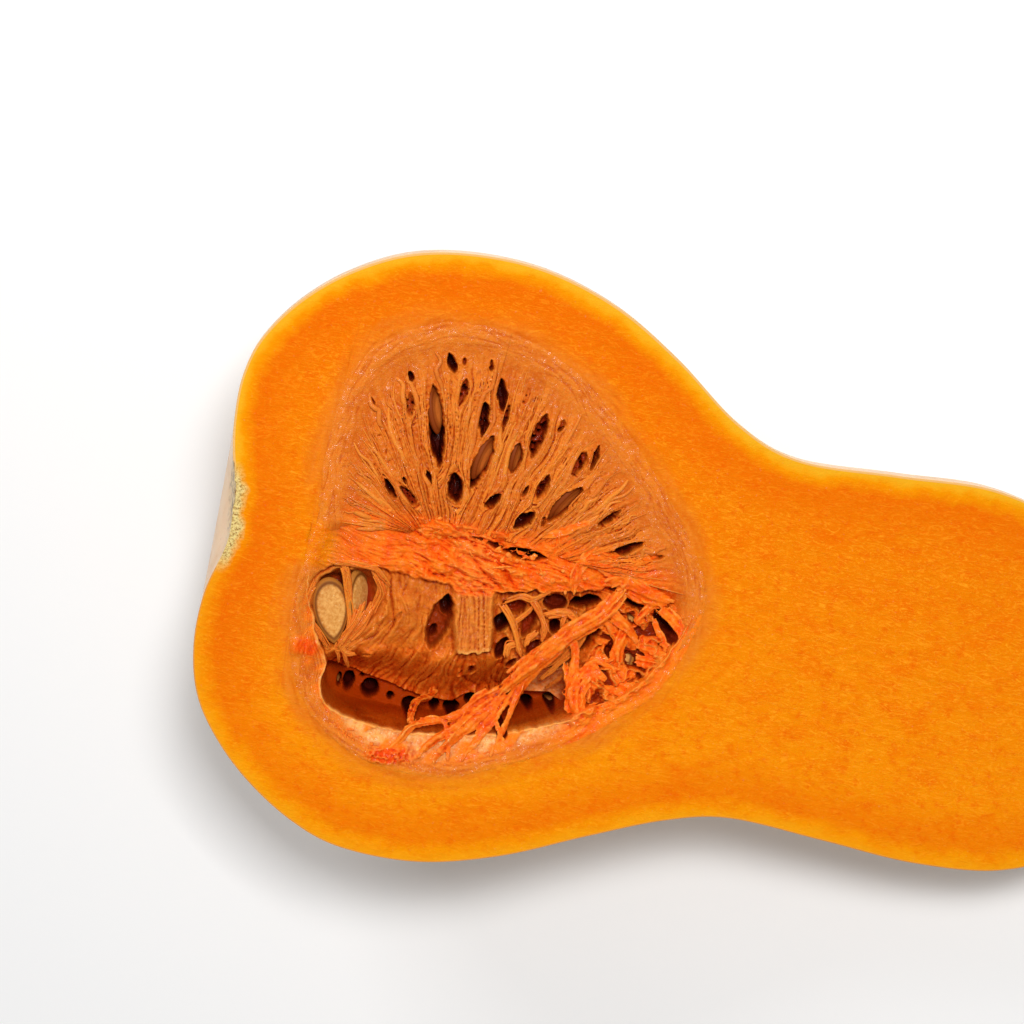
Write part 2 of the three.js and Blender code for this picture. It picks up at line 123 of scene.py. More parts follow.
# Its slots: middle, length, width, turn in degrees, depth, and how much is crossed by threads
FAN_SLOTS = [
    (-3.9, 26.8, 18.5, 3.7, 106, 9, 0), (-3.4, 40.4, 4.6, 2.2, 116, 7, 0),
    (-0.8, 41.1, 1.8, 0.8, 101, 3, 0), (0.1, 34.7, 6.2, 2.0, 88, 6, 0.6),
    (4.8, 41.5, 2.4, 1.3, 97, 5, 0), (5.5, 30.0, 8.2, 2.5, 97, 8, 0.2),
    (-11.2, 35.7, 2.6, 1.3, 105, 5, 0), (-10.2, 30.2, 5.8, 2.0, 101, 6, 0.7),
    (-12.8, 30.9, 5.0, 1.4, 108, 3, 1), (6.8, 21.2, 12.2, 3.6, 78, 9, 0),
    (2.6, 14.7, 6.9, 3.7, 106, 8, 0.2), (-10.8, 12.2, 5.0, 1.6, 132, 6, 0),
    (-8.3, 14.2, 2.0, 1.0, 106, 4, 0), (-3.3, 16.0, 3.6, 1.2, 120, 5, 0),
    (-6.7, 11.3, 5.8, 2.0, 142, 4, 0.5), (-13.1, 19.5, 12.5, 1.1, 123, 2.5, 1),
    (-17.9, 29.4, 2.2, 0.9, 125, 2, 0), (-4.7, 19.3, 6.6, 1.4, 120, 2.5, 0.8),
    (10.6, 13.6, 4.4, 2.2, 49, 7, 0), (8.2, 35.8, 7.4, 2.3, 104, 8, 0.1),
    (9.9, 31.0, 6.2, 1.3, 87, 4, 0.4), (17.4, 29.1, 10.2, 3.1, 82, 8, 0.5),
    (13.6, 23.3, 6.6, 2.9, 85, 8, 0), (21.6, 32.1, 3.4, 1.5, 75, 4, 0.6),
    (29.7, 26.7, 6.0, 1.6, 83, 7, 0), (26.9, 24.9, 6.4, 2.4, 72, 6, 0.6),
    (25.5, 15.9, 10.8, 3.4, 56, 9, 0), (20.4, 18.6, 6.6, 2.1, 75, 5, 0.3),
    (18.0, 11.0, 5.7, 2.8, 49, 6, 0), (21.9, 11.6, 2.2, 1.1, 83, 4, 0),
    (35.3, 14.8, 6.4, 2.1, 44, 5, 0.3), (40.2, 9.1, 9.8, 2.1, 31, 6, 0.2),
    (17.0, 16.9, 3.0, 1.2, 74, 4, 0), (30.6, 20.4, 8.0, 1.2, 50, 2.5, 1),
    (-1.0, 25.6, 9.0, 0.9, 98, 2.5, 1), (-18.6, 14.0, 8.0, 0.9, 142, 2, 1),
    (2.8, 36.6, 8.0, 0.8, 95, 2, 1), (13.0, 36.0, 7.0, 0.9, 80, 2, 1),
    (-7.6, 24.0, 9.0, 0.9, 110, 2, 1), (38.0, 17.6, 7.0, 1.0, 40, 2, 1),
    (24.0, 29.4, 6.0, 0.8, 66, 2, 1), (46.4, 8.6, 6.0, 1.3, 20, 3, 0.5)]

# Torn edge below the band, the foot and the top of the membrane that hangs from it, and the
# band's ridge
BAND_EDGE = [
    (-28, -12.5), (-25, -11.5), (-23.8, -10.4), (-21.8, -7.8), (-18.9, -6.0), (-15.6, -5.4), (-7.9, -5.0),
    (3.3, -5.6), (9.0, -6.5), (16.0, -5.0), (25.0, -3.4), (36.0, -1.0), (46.0, 2.0), (58.0, 3.0)]
CURTAIN_FOOT = [
    (-27.2, -11.0), (-25.0, -15.0), (-22.8, -21.5), (-18.0, -26.5), (-12.4, -29.7), (-9.7, -30.0),
    (-6.5, -30.8), (-2.9, -31.2), (0.8, -32.3), (4.5, -32.9), (7.2, -33.1), (9.8, -33.0),
    (12.0, -33.0), (13.4, -31.4), (15.4, -30.3), (18.1, -30.3), (21.7, -28.5), (25.4, -27.6),
    (32.0, -26.6), (36.0, -28.6), (40.0, -27.4), (44.0, -24.6), (48.6, -20.0), (52.0, -15.0),
    (55.0, -10.0), (59.6, -5.0)]
CURTAIN_TOP = [(-27, 7.5), (50, 7.5), (59.6, 4.0)]
BAND_RIDGE = [(-20, 6.0), (-15, 4.4), (-8, 4.2), (2, 5.0), (9, 4.6), (16, 2.4), (26, 1.2), (36, 4.2)]
LEDGE = -21.6  # level of the column's lower end in the picture
COLUMN_LEAN = 0.19
COLUMN_SIDES = (8.0, 16.4)
# Hollow that holds two seeds
HOLLOW_MIDDLE = np.array([-15.0, -14.0])
HOLLOW_RIM = [
    (-22.7, -12.7), (-21.6, -9.2), (-18.9, -7.1), (-13.8, -6.0), (-9.4, -5.6), (-7.4, -9.7),
    (-6.8, -14.3), (-8.8, -19.0), (-12.0, -23.2), (-14.5, -24.4), (-17.6, -23.2), (-21.0, -20.0),
    (-22.4, -16.2)]
HOLLOW_DEPTH = 10.0
# Windows in the membrane: middle, length, width, turn in degrees, depth and how dark their painted shade is
CURTAIN_WINDOWS = [
    (5.0, -14.2, 13.2, 5.4, 84, 5, 0.45), (5.8, -10.6, 5.2, 3.4, 100, 6, 0.9),
    (4.3, -17.2, 3.4, 1.9, 80, 4, 0.9), (18.0, -11.8, 5.0, 4.0, 80, 7, 1.0),
    (19.2, -17.6, 5.6, 3.0, 78, 6, 0.95), (14.1, -23.9, 2.6, 1.8, 84, 4, 0.8),
    (11.9, -25.6, 2.0, 1.1, 70, 2, 0.5), (19.8, -7.8, 5.6, 4.0, 10, 3, 0.5),
    (23.6, -10.6, 7.4, 3.8, 80, 3.5, 0.5), (28.2, -5.4, 5.4, 4.6, 15, 5, 0.75),
    (34.2, -4.1, 7.0, 3.2, 20, 9, 1.0), (29.2, -10.6, 3.8, 2.8, 90, 6, 0.95),
    (25.6, -16.2, 4.4, 2.8, 60, 4, 0.7), (22.0, -20.6, 3.4, 2.0, 60, 3, 0.6),
    (35.6, -12.6, 6.0, 3.4, 60, 5, 0.7), (32.2, -18.4, 6.4, 3.2, 50, 4, 0.4),
    (44.4, -1.8, 7.9, 3.0, -9, 6, 0.85), (52.3, -6.1, 9.9, 4.4, -48, 6, 0.75),
    (53.1, 1.3, 3.6, 1.9, -20, 5, 0.75),
    (48.0, 4.2, 3.4, 1.6, 20, 4, 0.9), (41.3, -13.0, 4.9, 2.3, 86, 4, 0.6),
    (44.6, -5.6, 2.7, 1.7, -40, 4, 0.85), (42.6, -10.0, 2.8, 1.7, -40, 4, 0.7),
    (45.9, -14.2, 5.2, 3.0, -40, 1.2, 0.22), (40.8, -22.3, 4.3, 2.8, 64, 1.2, 0.22),
    (48.5, -17.1, 3.2, 1.9, -42, 3, 0.6), (45.2, -21.0, 4.0, 1.6, 10, 3, 0.8),
    (37.8, -10.2, 3.0, 2.0, 60, 4, 0.8), (50.0, -13.4, 2.4, 1.4, 10, 3, 0.8),
    (-8.6, -24.6, 3.0, 1.0, 20, 2, 0.5), (-4.4, -16.0, 6.0, 1.1, 66, 2, 0.35),
    (11.6, 4.8, 9.0, 1.6, -8, 4, 0.8), (19.6, 3.9, 9.6, 2.7, 1, 8, 1.0),
    (31.3, 6.5, 4.8, 1.6, 161, 4, 0.8)]

OVERLAP = 2.2  # how far the pulp grows out over the flesh round the cavity
# Lip of the pocket, inside the rim of the cavity, and the arches in the wall behind it, darkened
# with painted shade: middle, width and height
LIP_MIDDLE = np.array([14.0, -10.0])
LINING_SPREAD = (math.radians(178), math.radians(371))
LIP = [
    (-24.0, -10.0), (-22.4, -15.0), (-19.6, -21.5), (-17.2, -25.6), (-16.8, -28.0), (-17.0, -31.3),
    (-15.6, -34.6), (-10.9, -36.9), (-8.2, -37.6), (-4.1, -38.0), (0.8, -38.1), (6.8, -37.7),
    (12.7, -36.6), (20.0, -35.1), (28.1, -32.5), (35.1, -28.7), (39.6, -25.2), (44.0, -22.6),
    (49.6, -17.0), (54.6, -8.0), (56.4, -2.0)]
ARCHES = [
    (-12.9, -32.8, 1.2, 2.7), (-10.8, -33.0, 2.7, 4.2), (-8.1, -31.6, 0.9, 1.0),
    (-5.9, -34.0, 4.2, 4.4), (-1.3, -34.8, 1.7, 2.1), (3.4, -35.9, 4.0, 3.8),
    (8.4, -34.8, 2.5, 3.1), (12.1, -34.6, 3.8, 3.5), (16.4, -32.2, 4.0, 3.1),
    (22.5, -34.7, 2.5, 2.9), (27.9, -30.2, 2.9, 2.6), (32.4, -28.7, 2.7, 2.4)]

# Torn bundle that hangs over the pocket and the tangle beside it: thickness at the two ends
# of each strand, then the points that it runs through
BUNDLE = [
    (3.2, 4.4, [(41.3, 0.6, -2.4), (40, -2.1, -2.2), (38.1, -4.9, -2), (35, -8, -2.2),
                (31.9, -10.8, -2.4), (29.1, -14.6, -2.8),
                (26.2, -18.3, -3.4), (23.3, -22.2, -4.2), (21, -25.6, -5)]),
    (1.8, 2.4, [(38.1, -7.8, -2.8), (34.4, -10.7, -2.8), (31.1, -13.9, -3.2), (28, -18.4, -3.8),
                (25.9, -22.4, -4.8), (24.3, -26.9, -5.5)]),
]
STRANDS = [
    (1.9, 1.1, [(21, -25, -5), (16.5, -28.6, -5.0), (14.1, -31.7, -4.2), (9.9, -34.2, -3.2),
                (3.7, -36.4, -2.2), (0.6, -41.1, -1.0), (-4.1, -44.3, -0.2)]),
    (1.2, 1.0, [(7.4, -30, -19), (6.8, -32.0, -15), (3.8, -32.8, -10), (3.0, -35.3, -5.5),
                (3.6, -36.2, -2.4)]),
    (1.9, 1.0, [(21, -26, -5.0), (17.3, -29.9, -4.6), (12.4, -35, -2.8), (7.4, -39.7, -1.1),
                (5.6, -42.7, -0.2)]),
    (1.6, 0.9, [(22, -26, -5), (19.7, -29.9, -4.4), (14.8, -35, -2.4), (10.9, -39.5, -0.9),
                (9.1, -42.9, -0.1)]),
    (1.4, 0.8, [(21, -28, -4.8), (18.9, -31.9, -4.0), (17.4, -36.7, -1.8), (14.8, -41.9, -0.1)]),
    (1.2, 0.8, [(25, -22, -4.4), (24.2, -26, -4.5), (23, -31.6, -3.2), (20.8, -39.8, -0.1)]),
    (1.2, 0.7, [(24, -24, -4.5), (22.3, -28.1, -4.5), (20.4, -32.1, -3.2), (16.6, -39.3, -0.6)]),
    (0.8, 0.6, [(9.9, -34.2, -3.0), (11.5, -37.5, -1.5), (12.4, -42.4, -0.1)]),
    (0.7, 0.5, [(20.4, -32.1, -3.2), (22.6, -35.6, -1.7), (24.4, -38.6, -0.1)]),
]
TANGLE = [
    (2.4, 2.6, [(32.8, 6.8, -1.6), (31.7, 4.8, -1.4), (31.1, 1.9, -1.6), (31, -1.7, -2.2)]),
    (1.4, 1.0, [(32.1, 6.1, -1.6), (34.1, 9.6, -1.4), (36.5, 12.5, -1.4), (38.2, 15, -1.4)]),
    (1.6, 2.4, [(44.7, 12.9, -1.4), (44.5, 9.7, -1.6), (43.3, 7, -1.8), (41.4, 4.1, -2)]),
    (1.6, 2.4, [(32.3, 5.1, -1.8), (35.4, 4.8, -1.8), (38.7, 3.9, -1.8), (41.5, 3.6, -1.8)]),
    (2.4, 2.8, [(43.6, 8.2, -2.2), (46, 7.1, -2.2), (48.1, 6, -2.4)]),
    (3.0, 2.8, [(38, 1.3, -2), (40.4, 3, -1.8), (43.6, 2.4, -1.6), (46.9, 1.2, -1.6), (51.4, 0.3, -1.5)]),
    (1.8, 1.4, [(41.8, 1, -2.4), (45.2, -0.5, -2.2), (48.3, -0.7, -2), (51.5, -0.3, -1.5)]),
    (2.4, 1.8, [(39.9, -4.8, -2), (42.7, -6.5, -2.2), (44.7, -8.4, -2.6), (46.6, -10, -3)]),
    (1.3, 1.7, [(48.7, -1, -2.4), (46.8, -3.6, -2.6), (45.5, -6.1, -3)]),
    (1.4, 1.8, [(37.5, -6.4, -2.6), (40, -7.8, -2.8), (41.6, -9.4, -3.2), (43.3, -11.6, -3.4)]),
    (2.2, 2.6, [(43.9, -8.6, -3), (43.1, -12.2, -3), (43.5, -15.6, -3.2)]),
    (1.2, 1.7, [(33, -12, -3.2), (34.4, -14.8, -3.2), (34.8, -18.5, -3), (34.7, -22.5, -2.8),
                (35.1, -27.9, -2.2)]),
    (0.8, 0.8, [(32.5, -17.5, -4), (33.3, -19.8, -3.6), (34, -22.1, -3.4)]),
    (3.6, 2.8, [(37.7, -19.2, -3.2), (36.3, -22.8, -2.6), (37, -26.3, -2), (38.8, -28.3, -1.2)]),
    (1.0, 1.2, [(36.3, -20, -2.8), (38, -19.3, -2.6), (40.3, -18.6, -2.6), (41.8, -19.6, -3)]),
    (1.2, 1.2, [(49.2, -4.5, -3.4), (50.7, -7.1, -3.4), (52.3, -9.2, -3), (54, -10, -2.4)]),
    (1.6, 2.4, [(49.1, -1.5, -2), (51.8, -3.1, -1.8), (54.6, -5.3, -1.6), (56.2, -8.1, -1.2),
                (55.6, -11.3, -1), (53.5, -14.5, -1)]),
    (2.0, 1.8, [(47.8, -11, -3.2), (50.6, -11.6, -2.8), (53.4, -11.9, -2)]),
    (1.8, 1.6, [(47.5, -13.9, -3.4), (50.6, -14.2, -3), (53, -14.4, -2)]),
    (2.0, 2.2, [(50.2, -18.5, -2.6), (47.4, -19.8, -3), (44.6, -19.4, -3.2)]),
    (2.0, 1.6, [(42.1, -21.1, -3), (44.6, -21.2, -2.6), (47.1, -21.8, -2)]),
    (1.3, 1.1, [(43.2, -23.1, -3), (45.4, -23.5, -2.6), (46.9, -23.7, -2)]),
    (1.5, 1.2, [(39.8, -24.9, -2.4), (42.3, -25, -2.2), (44.7, -25, -1.6)]),
    (1.7, 1.4, [(37, -16.9, -3.6), (39.2, -15.5, -3.4), (41.8, -16.3, -3.4), (43.2, -17.3, -3.6)]),
    (1.5, 1.4, [(36.4, -18.6, -3.4), (38.3, -17.5, -3.2), (40.2, -17.7, -3)]),
    (2.4, 1.8, [(53, -14.6, -1.4), (52, -17.3, -1.2), (49.7, -19.9, -1), (46.8, -23.5, -0.9)]),
    (1.2, 1.0, [(29.9, 7.8, -1.6), (26.2, 9.2, -1.6), (26.4, 6.8, -1.8), (29, 6.1, -1.8),
                (31.9, 5.7, -1.8)]),
    (1.6, 1.4, [(22.3, 8.8, -1.4), (25.8, 9.8, -1.3), (29, 12, -1.3), (31.7, 13.4, -1.2)]),
]
# Membrane and thin strands round the seed hollow, and the tuft below the full seed
HOLLOW_STRANDS = [
    (1.5, 0.9, [(-17.4, -5.2, -2.4), (-16.2, -7.4, -3.0), (-14.9, -11.9, -4.4), (-13.5, -18.6, -5.4),
                (-14.9, -23.6, -5.2)]),
    (1.6, 1.1, [(-10.9, -5.6, -2.8), (-8.5, -9.6, -4.6), (-9.2, -14.9, -6.6), (-9.6, -19.2, -6.6),
                (-13.2, -24.0, -6.2)]),
    (1.2, 0.9, [(-22.4, -9.6, -1.6), (-23.2, -14.4, -2.0), (-20.6, -19.8, -3.2), (-16.4, -24.2, -5.0)]),
    (0.9, 0.5, [(-15.7, -21.3, -5.4), (-13.8, -23.9, -6.0), (-12.7, -26.3, -7.2), (-11.7, -28.2, -9.0)]),
    (0.7, 0.5, [(-15.4, -22.6, -5.4), (-14.6, -25.0, -6.6), (-13.9, -27.2, -8.2)]),
    (0.6, 0.4, [(-15.0, -22.9, -5.6), (-13.0, -24.4, -6.2), (-10.8, -24.6, -7.0)]),
    (2.0, 1.6, [(-11.6, -14.0, -4.9), (-12.9, -18.8, -5.0), (-14.7, -23.2, -5.4)]),
    (1.8, 1.5, [(-9.6, -13.0, -5.6), (-11.0, -18.0, -5.5), (-13.9, -22.9, -5.7)]),
    (1.0, 0.8, [(-19.8, -5.6, -1.8), (-15.0, -4.9, -2.0), (-10.0, -5.4, -2.4), (-6.8, -8.4, -3.6)]),
]
NET = [
    (1.2, 0.9, [(23, -5.3, -3.4), (25.2, -7.7, -3.6), (26.7, -10.5, -3.8), (26.9, -14.3, -4.2)]),
    (1.2, 1.3, [(26.6, -8.4, -4), (28.9, -7.3, -3.8), (31.2, -6.9, -3.8), (32.9, -7.4, -3.6)]),
    (1.5, 1.2, [(17, -8, -3.6), (19.3, -10.4, -3.8), (21.2, -13.5, -4), (22.5, -16.4, -4.4),
                (23.5, -18.2, -5)]),
    (1.0, 0.8, [(25.7, -12.4, -4.6), (24.2, -14.3, -4.8), (23.6, -16, -5)]),
    (1.1, 0.9, [(17.1, -7, -3.2), (20.4, -5.1, -3), (23, -5.4, -3.2), (25.1, -3.9, -3.2),
                (27.1, -2.2, -3)]),
    (1.2, 1.0, [(31.1, -6.5, -3.6), (33, -8.1, -4), (32.2, -9.9, -4.4)]),
    (0.9, 0.8, [(20.2, -18.9, -5), (20.3, -16.3, -4.8), (22.2, -15, -4.6)]),
    (0.9, 0.8, [(20.2, -11.2, -4.2), (22.5, -8.9, -4.2), (23.8, -6.7, -3.8)]),
    (0.9, 0.8, [(30.5, -10.5, -4.2), (30.4, -8.6, -4), (31, -7.2, -3.8)]),
    (1.3, 0.9, [(36.0, -9.2, -4.6), (34.6, -14.2, -6.4), (31.6, -18.8, -8.4), (28.6, -23.4, -11)]),
    (0.9, 0.7, [(33.4, -13.4, -6.0), (30.4, -18.6, -8.8), (27.0, -21.6, -11)]),
    (0.9, 0.7, [(34.6, -16.4, -6.0), (33.0, -21.4, -9.0), (30.4, -25.4, -13)])]

# Seeds: the node each one replaces, its middle, turn, lean and size
SEED_SIZE = (14.2, 7.8, 2.7)
SEEDS = [
    ("seed_01", (-18.0, -15.7, -5.4), 0.29, 0.15, 1.0),
    ("seed_02", (-13.0, -12.9, -7.4), 0.16, 0.95, 0.95),
    ("seed_03", (46.9, -9.2, -6.6), 0.9, 0.35, 0.9),
    ("seed_04", (42.6, -17.8, -6.8), 2.4, 0.4, 0.9),
    ("seed_05", (-4.8, 30.0, -4.6), 0.28, 1.05, 0.72),
    ("seed_06", (7.0, 22.2, -4.6), -0.24, 1.05, 0.72),
    ("seed_07", (13.7, 23.4, -5.2), -0.1, 1.15, 0.6),
    ("seed_08", (26.0, 16.6, -4.8), -0.60, 1.1, 0.74),
]
# Stem stub: where it runs from and to, its radii and its ridges
STEM = {"y": -5.5, "from": 144.0, "to": 168.6, "base": 12.4, "neck": 8.3, "tip": 9.2, "ridges": 5}

# The stage, in metres: each light's share of the key's power, its size and its place along the
# picture's right, up and toward-viewer directions; how far the camera sees; and the floor
LIGHTS = (("key", 1.0, 0.16, (0.08, 0.14, 0.80)), ("rake", 0.35, 0.3, (-0.4, 0.5, 0.5)))
NEAREST_SHOWN = 0.01
FARTHEST_SHOWN = 10
FLOOR_REACH = 3.0
FLOOR_BELOW = 0.0002  # just under the flats that the half rests on

# How finely the pieces are divided, how many loose fibres they get and where reliefs end below
RIND_SIDES = 92
FACE_SIDES = (34, 64, 34)  # below, over and above the cavity
FRUIT_ROWS = 300
FAN_GRID = (420, 215)
CURTAIN_GRID = (400, 220)
LINING_GRID = (420, 50, 60, 40)  # round, and down the bowl, the wall and the shelf
SEED_GRID = (72, 36)
FAN_FIBRES = 300
BAND_PIECES = 230
RIM_FRAYS = 300
PATCH_BOTTOM = -30.0
LINING_BOTTOM = -40.0


def smooth(low, high, x):
    """A smooth step from 0 at low to 1 at high."""
    share = np.clip((x - low) / (high - low), 0, 1)
    return share * share * (3 - 2 * share)


def mix(a, b, share):
    """A share of the way from a to b."""
    return a + (b - a) * share


def spline(points, at, closed=False):
    """Points of a Catmull-Rom curve, where at runs from 0 to 1 over all its spans."""
    p = np.asarray(points, float)
    spans = len(p) if closed else len(p) - 1
    place = np.asarray(at, float) * spans
    i = np.floor(place).astype(int)
    i = i % spans if closed else np.clip(i, 0, spans - 1)
    t = (place - np.floor(place) if closed else place - i)[..., None]
    if closed:
        p0, p1, p2, p3 = (p[(i + k) % spans] for k in (-1, 0, 1, 2))
    else:
        wide = np.vstack([2 * p[0] - p[1], p, 2 * p[-1] - p[-2]])
        p0, p1, p2, p3 = (wide[i + k] for k in (0, 1, 2, 3))
    return 0.5 * (2 * p1 + (p2 - p0) * t + (2 * p0 - 5 * p1 + 4 * p2 - p3) * t ** 2
                  + (3 * p1 - p0 - 3 * p2 + p3) * t ** 3)


def rough(x, y, seed, octaves=1):
    """Smooth noise from -1 to 1 over the plane, with a bump for each unit."""
    total, weight = 0.0, 0.0
    for octave in range(octaves):
        table = np.random.default_rng(seed + 101 * octave).uniform(-1, 1, (64, 64))
        gx, gy = np.asarray(x) * 2 ** octave, np.asarray(y) * 2 ** octave
        ix, iy = np.floor(gx).astype(int), np.floor(gy).astype(int)
        fx, fy = gx - ix, gy - iy
        fx, fy = fx * fx * (3 - 2 * fx), fy * fy * (3 - 2 * fy)
        low = mix(table[ix % 64, iy % 64], table[(ix + 1) % 64, iy % 64], fx)
        high = mix(table[ix % 64, (iy + 1) % 64], table[(ix + 1) % 64, (iy + 1) % 64], fx)
        total = total + mix(low, high, fy) * 0.5 ** octave
        weight += 0.5 ** octave
    return total / weight


def cords(x, seed, width, low=-200.0, high=200.0):
    """Round cords of random widths laid side by side: height and tone of the one at x."""
    random = np.random.default_rng(seed)
    count = int((high - low) / width)
    widths = random.uniform(0.45, 1.55, count) * width
    edges = low + np.concatenate(([0], np.cumsum(widths)))
    i = np.clip(np.searchsorted(edges, x) - 1, 0, count - 1)
    share = np.clip((x - edges[i]) / widths[i], 0, 1)
    height = random.uniform(0.35, 1.0, count)[i] * np.sqrt(1 - (2 * share - 1) ** 2)
    return height, random.uniform(0, 1, count)[i]


RIM_POINTS = spline(CAVITY_RIM, np.linspace(0, 1, 720, endpoint=False), closed=True)
EDGE_POINTS = np.vstack([spline(UPPER_EDGE, np.linspace(0, 1, 900)),
                         spline(LOWER_EDGE, np.linspace(1, 0, 900))])


def polar_reach(middle, points):
    """A function from an angle at middle to how far the closed outline lies there."""
    off = points - middle
    angle = np.arctan2(off[:, 1], off[:, 0])
    order = np.argsort(angle)
    angle, reach = angle[order], np.hypot(off[:, 0], off[:, 1])[order]
    return lambda a: np.interp(a, angle, reach, period=2 * math.pi)


RIM_FROM_MIDDLE = polar_reach(CAVITY_MIDDLE, RIM_POINTS)
RIM_FROM_ROOT = polar_reach(FAN_ROOT, RIM_POINTS)
RIM_FROM_LIP_MIDDLE = polar_reach(LIP_MIDDLE, RIM_POINTS)
LIP_REACH = polar_reach(LIP_MIDDLE, spline(LIP, np.linspace(0, 1, 400)))
HOLLOW_REACH = polar_reach(
    HOLLOW_MIDDLE, spline(HOLLOW_RIM, np.linspace(0, 1, 300, endpoint=False), closed=True))


def outline_at(middle, reach, angle):
    """A place some way from a middle, in a direction."""
    return middle[0] + reach * np.cos(angle), middle[1] + reach * np.sin(angle)


def share_of_cavity(u, v):
    """0 at the cavity's middle, 1 on its rim, more outside."""
    off_u, off_v = u - CAVITY_MIDDLE[0], v - CAVITY_MIDDLE[1]
    return np.hypot(off_u, off_v) / RIM_FROM_MIDDLE(np.arctan2(off_v, off_u))


def bowl(u, v):
    """Depth of the cavity's wall."""
    return CAVITY_DEPTH * np.sqrt(np.clip(1 - share_of_cavity(u, v) ** 2, 0, 1))


def nearest(points, u, v, batch=20000):
    """Distance from each place to the nearest of some points."""
    flat_u, flat_v = np.ravel(u), np.ravel(v)
    result = np.empty(flat_u.size)
    for start in range(0, flat_u.size, batch):
        part = slice(start, start + batch)
        gap = np.hypot(flat_u[part, None] - points[None, :, 0], flat_v[part, None] - points[None, :, 1])
        result[part] = gap.min(axis=1)
    return result.reshape(np.shape(u))


def almond(u, v, x, y, length, width, turn):
    """How far inside an almond a place is, in millimetres from its edge, below 0 outside."""
    along = (u - x) * math.cos(turn) + (v - y) * math.sin(turn)
    across = (v - y) * math.cos(turn) - (u - x) * math.sin(turn)
    half = 0.5 * width * np.clip(1 - (2 * along / length) ** 2, 0, 1) ** 0.75
    past_tip = np.clip(np.abs(along) - length / 2, 0, None)
    return half - np.abs(across) - 1.5 * past_tip, along, across


def picture_up(u, v):
    """How far up the picture a place of the cut lies."""
    return v * math.cos(LENGTH_RUNS_DOWN) - u * math.sin(LENGTH_RUNS_DOWN)


def strands(across, along, seed, width, length=9.0):
    """Fibres about a width apart that run along, merge and part: height from 0 to 1."""
    bend = 0.8 * rough(across / (4 * width), along / length, seed + 1)
    waves = rough(across / (1.5 * width) + bend, along / length, seed, 2)
    return np.clip(2.6 * np.abs(waves), 0, 1) ** 0.7


def web(x, y, seed):
    """Crests that cross like a net: height from 0 to 1."""
    return 1 - np.clip(2.8 * np.abs(rough(x, y, seed, 2)), 0, 1)


def sunken(height, reach):
    """How far each place of a grid lies below the mean of those round it."""
    weights = np.hanning(2 * reach + 3)[1:-1]
    weights /= weights.sum()
    mean = height
    for axis in (0, 1):
        padded = np.pad(mean, [(reach, reach) if k == axis else (0, 0) for k in (0, 1)], mode="edge")
        count = height.shape[axis]
        mean = sum(w * padded.take(np.arange(i, i + count), axis) for i, w in enumerate(weights))
    return mean - height


def from_rim_of(u, v):
    """Distance from the cavity's rim, below 0 inside it."""
    return nearest(RIM_POINTS, u, v) * np.where(share_of_cavity(u, v) < 1, -1, 1)


def rim_arcs(u, v, from_rim):
    """Relief of the flesh with wavy fibres that run along the cavity's rim."""
    turn = np.arctan2(v - CAVITY_MIDDLE[1], u - CAVITY_MIDDLE[0]) * 30
    coarse = strands(from_rim + 1.2 * rough(u / 7, v / 7, 43), turn, 44, 0.8, 7)
    fine = strands(from_rim + 0.6 * rough(u / 4, v / 4, 46), turn, 45, 0.35, 4)
    near = smooth(-5.5, -1.5, from_rim) * smooth(6.5, 1.0, from_rim)
    ripple = 0.10 * rough(u / 3.2, v / 1.7, 41, 3) + 0.05 * rough(u / 0.9, v / 0.9, 42)
    return ripple + near * (0.10 * coarse + 0.06 * fine), 0.6 * coarse + 0.4 * fine, near


def salmon_share(u, v, from_rim):
    """How much pulp shows: 1 in the cavity, fading over the flesh; flesh runs into the band."""
    turn = np.arctan2(v - CAVITY_MIDDLE[1], u - CAVITY_MIDDLE[0]) * 30
    edge = from_rim + 2.2 * rough(u / 8, v / 8, 55, 2) + 1.8 * rough(from_rim / 0.8, turn / 6, 56, 2)
    into_band = smooth(-12, -23, u) * smooth(6.0, 2.5, np.abs(v + 2.0 + 0.2 * (u + 25)))
    return smooth(6.5, -1.5, edge + 9 * into_band)


def torn_lumps(u, v):
    """Relief of the torn heap along the band: cushions of several sizes, and gashes."""
    big = np.abs(rough(u / 4.4 + 0.25 * v, v / 2.6, 47, 2))
    small = np.abs(rough(u / 1.5, v / 1.2, 48, 2))
    tiny = np.abs(rough(u / 0.7, v / 0.55, 49, 2))
    return 3.4 * np.minimum(big, 0.6) + 0.8 * small + 0.3 * tiny


def over_flesh(inward):
    """Lifts the pulp's border a little over the flesh and sinks its outer edge."""
    return 0.09 - 0.30 * smooth(-0.8, -OVERLAP, inward)


def fan_place(angle, share):
    """A place on the fan: a share of the way from the band to the rim along a strand."""
    along = (angle - FAN_SPREAD[0]) / (FAN_SPREAD[1] - FAN_SPREAD[0])
    start = spline(np.array(STRAND_STARTS)[:, None], along)[..., 0]
    end_u, end_v = outline_at(FAN_ROOT, RIM_FROM_ROOT(angle) + OVERLAP, angle)
    return mix(start, end_u, share), mix(FAN_ROOT[1], end_v, share)


def room_by_slot(along, length, width):
    """How far to each side of a slot's middle line strands stay clear of it."""
    return 0.55 * width * np.clip(1 - (along / (0.8 * length)) ** 2, 0, 1)


def slot_lean(u, v):
    """How far strands are pushed aside by the slots, in millimetres against the turn."""
    lean = np.zeros_like(u)
    for x, y, length, width, turn, *_ in FAN_SLOTS:
        _, along, across = almond(u, v, x, y, length, width, math.radians(turn))
        room = room_by_slot(along, length, width)
        closed = np.sign(across) * np.sqrt(np.clip(across ** 2 - room ** 2, 0, None))
        lean = lean + (closed - across) * smooth(3 * width, width, np.abs(across))
    return lean


def fan_sag(inward):
    """How far the fan sags below the cut, this far in from the rim."""
    return 1.5 * smooth(0, 10, inward) + 1.3 * smooth(8, 34, inward)


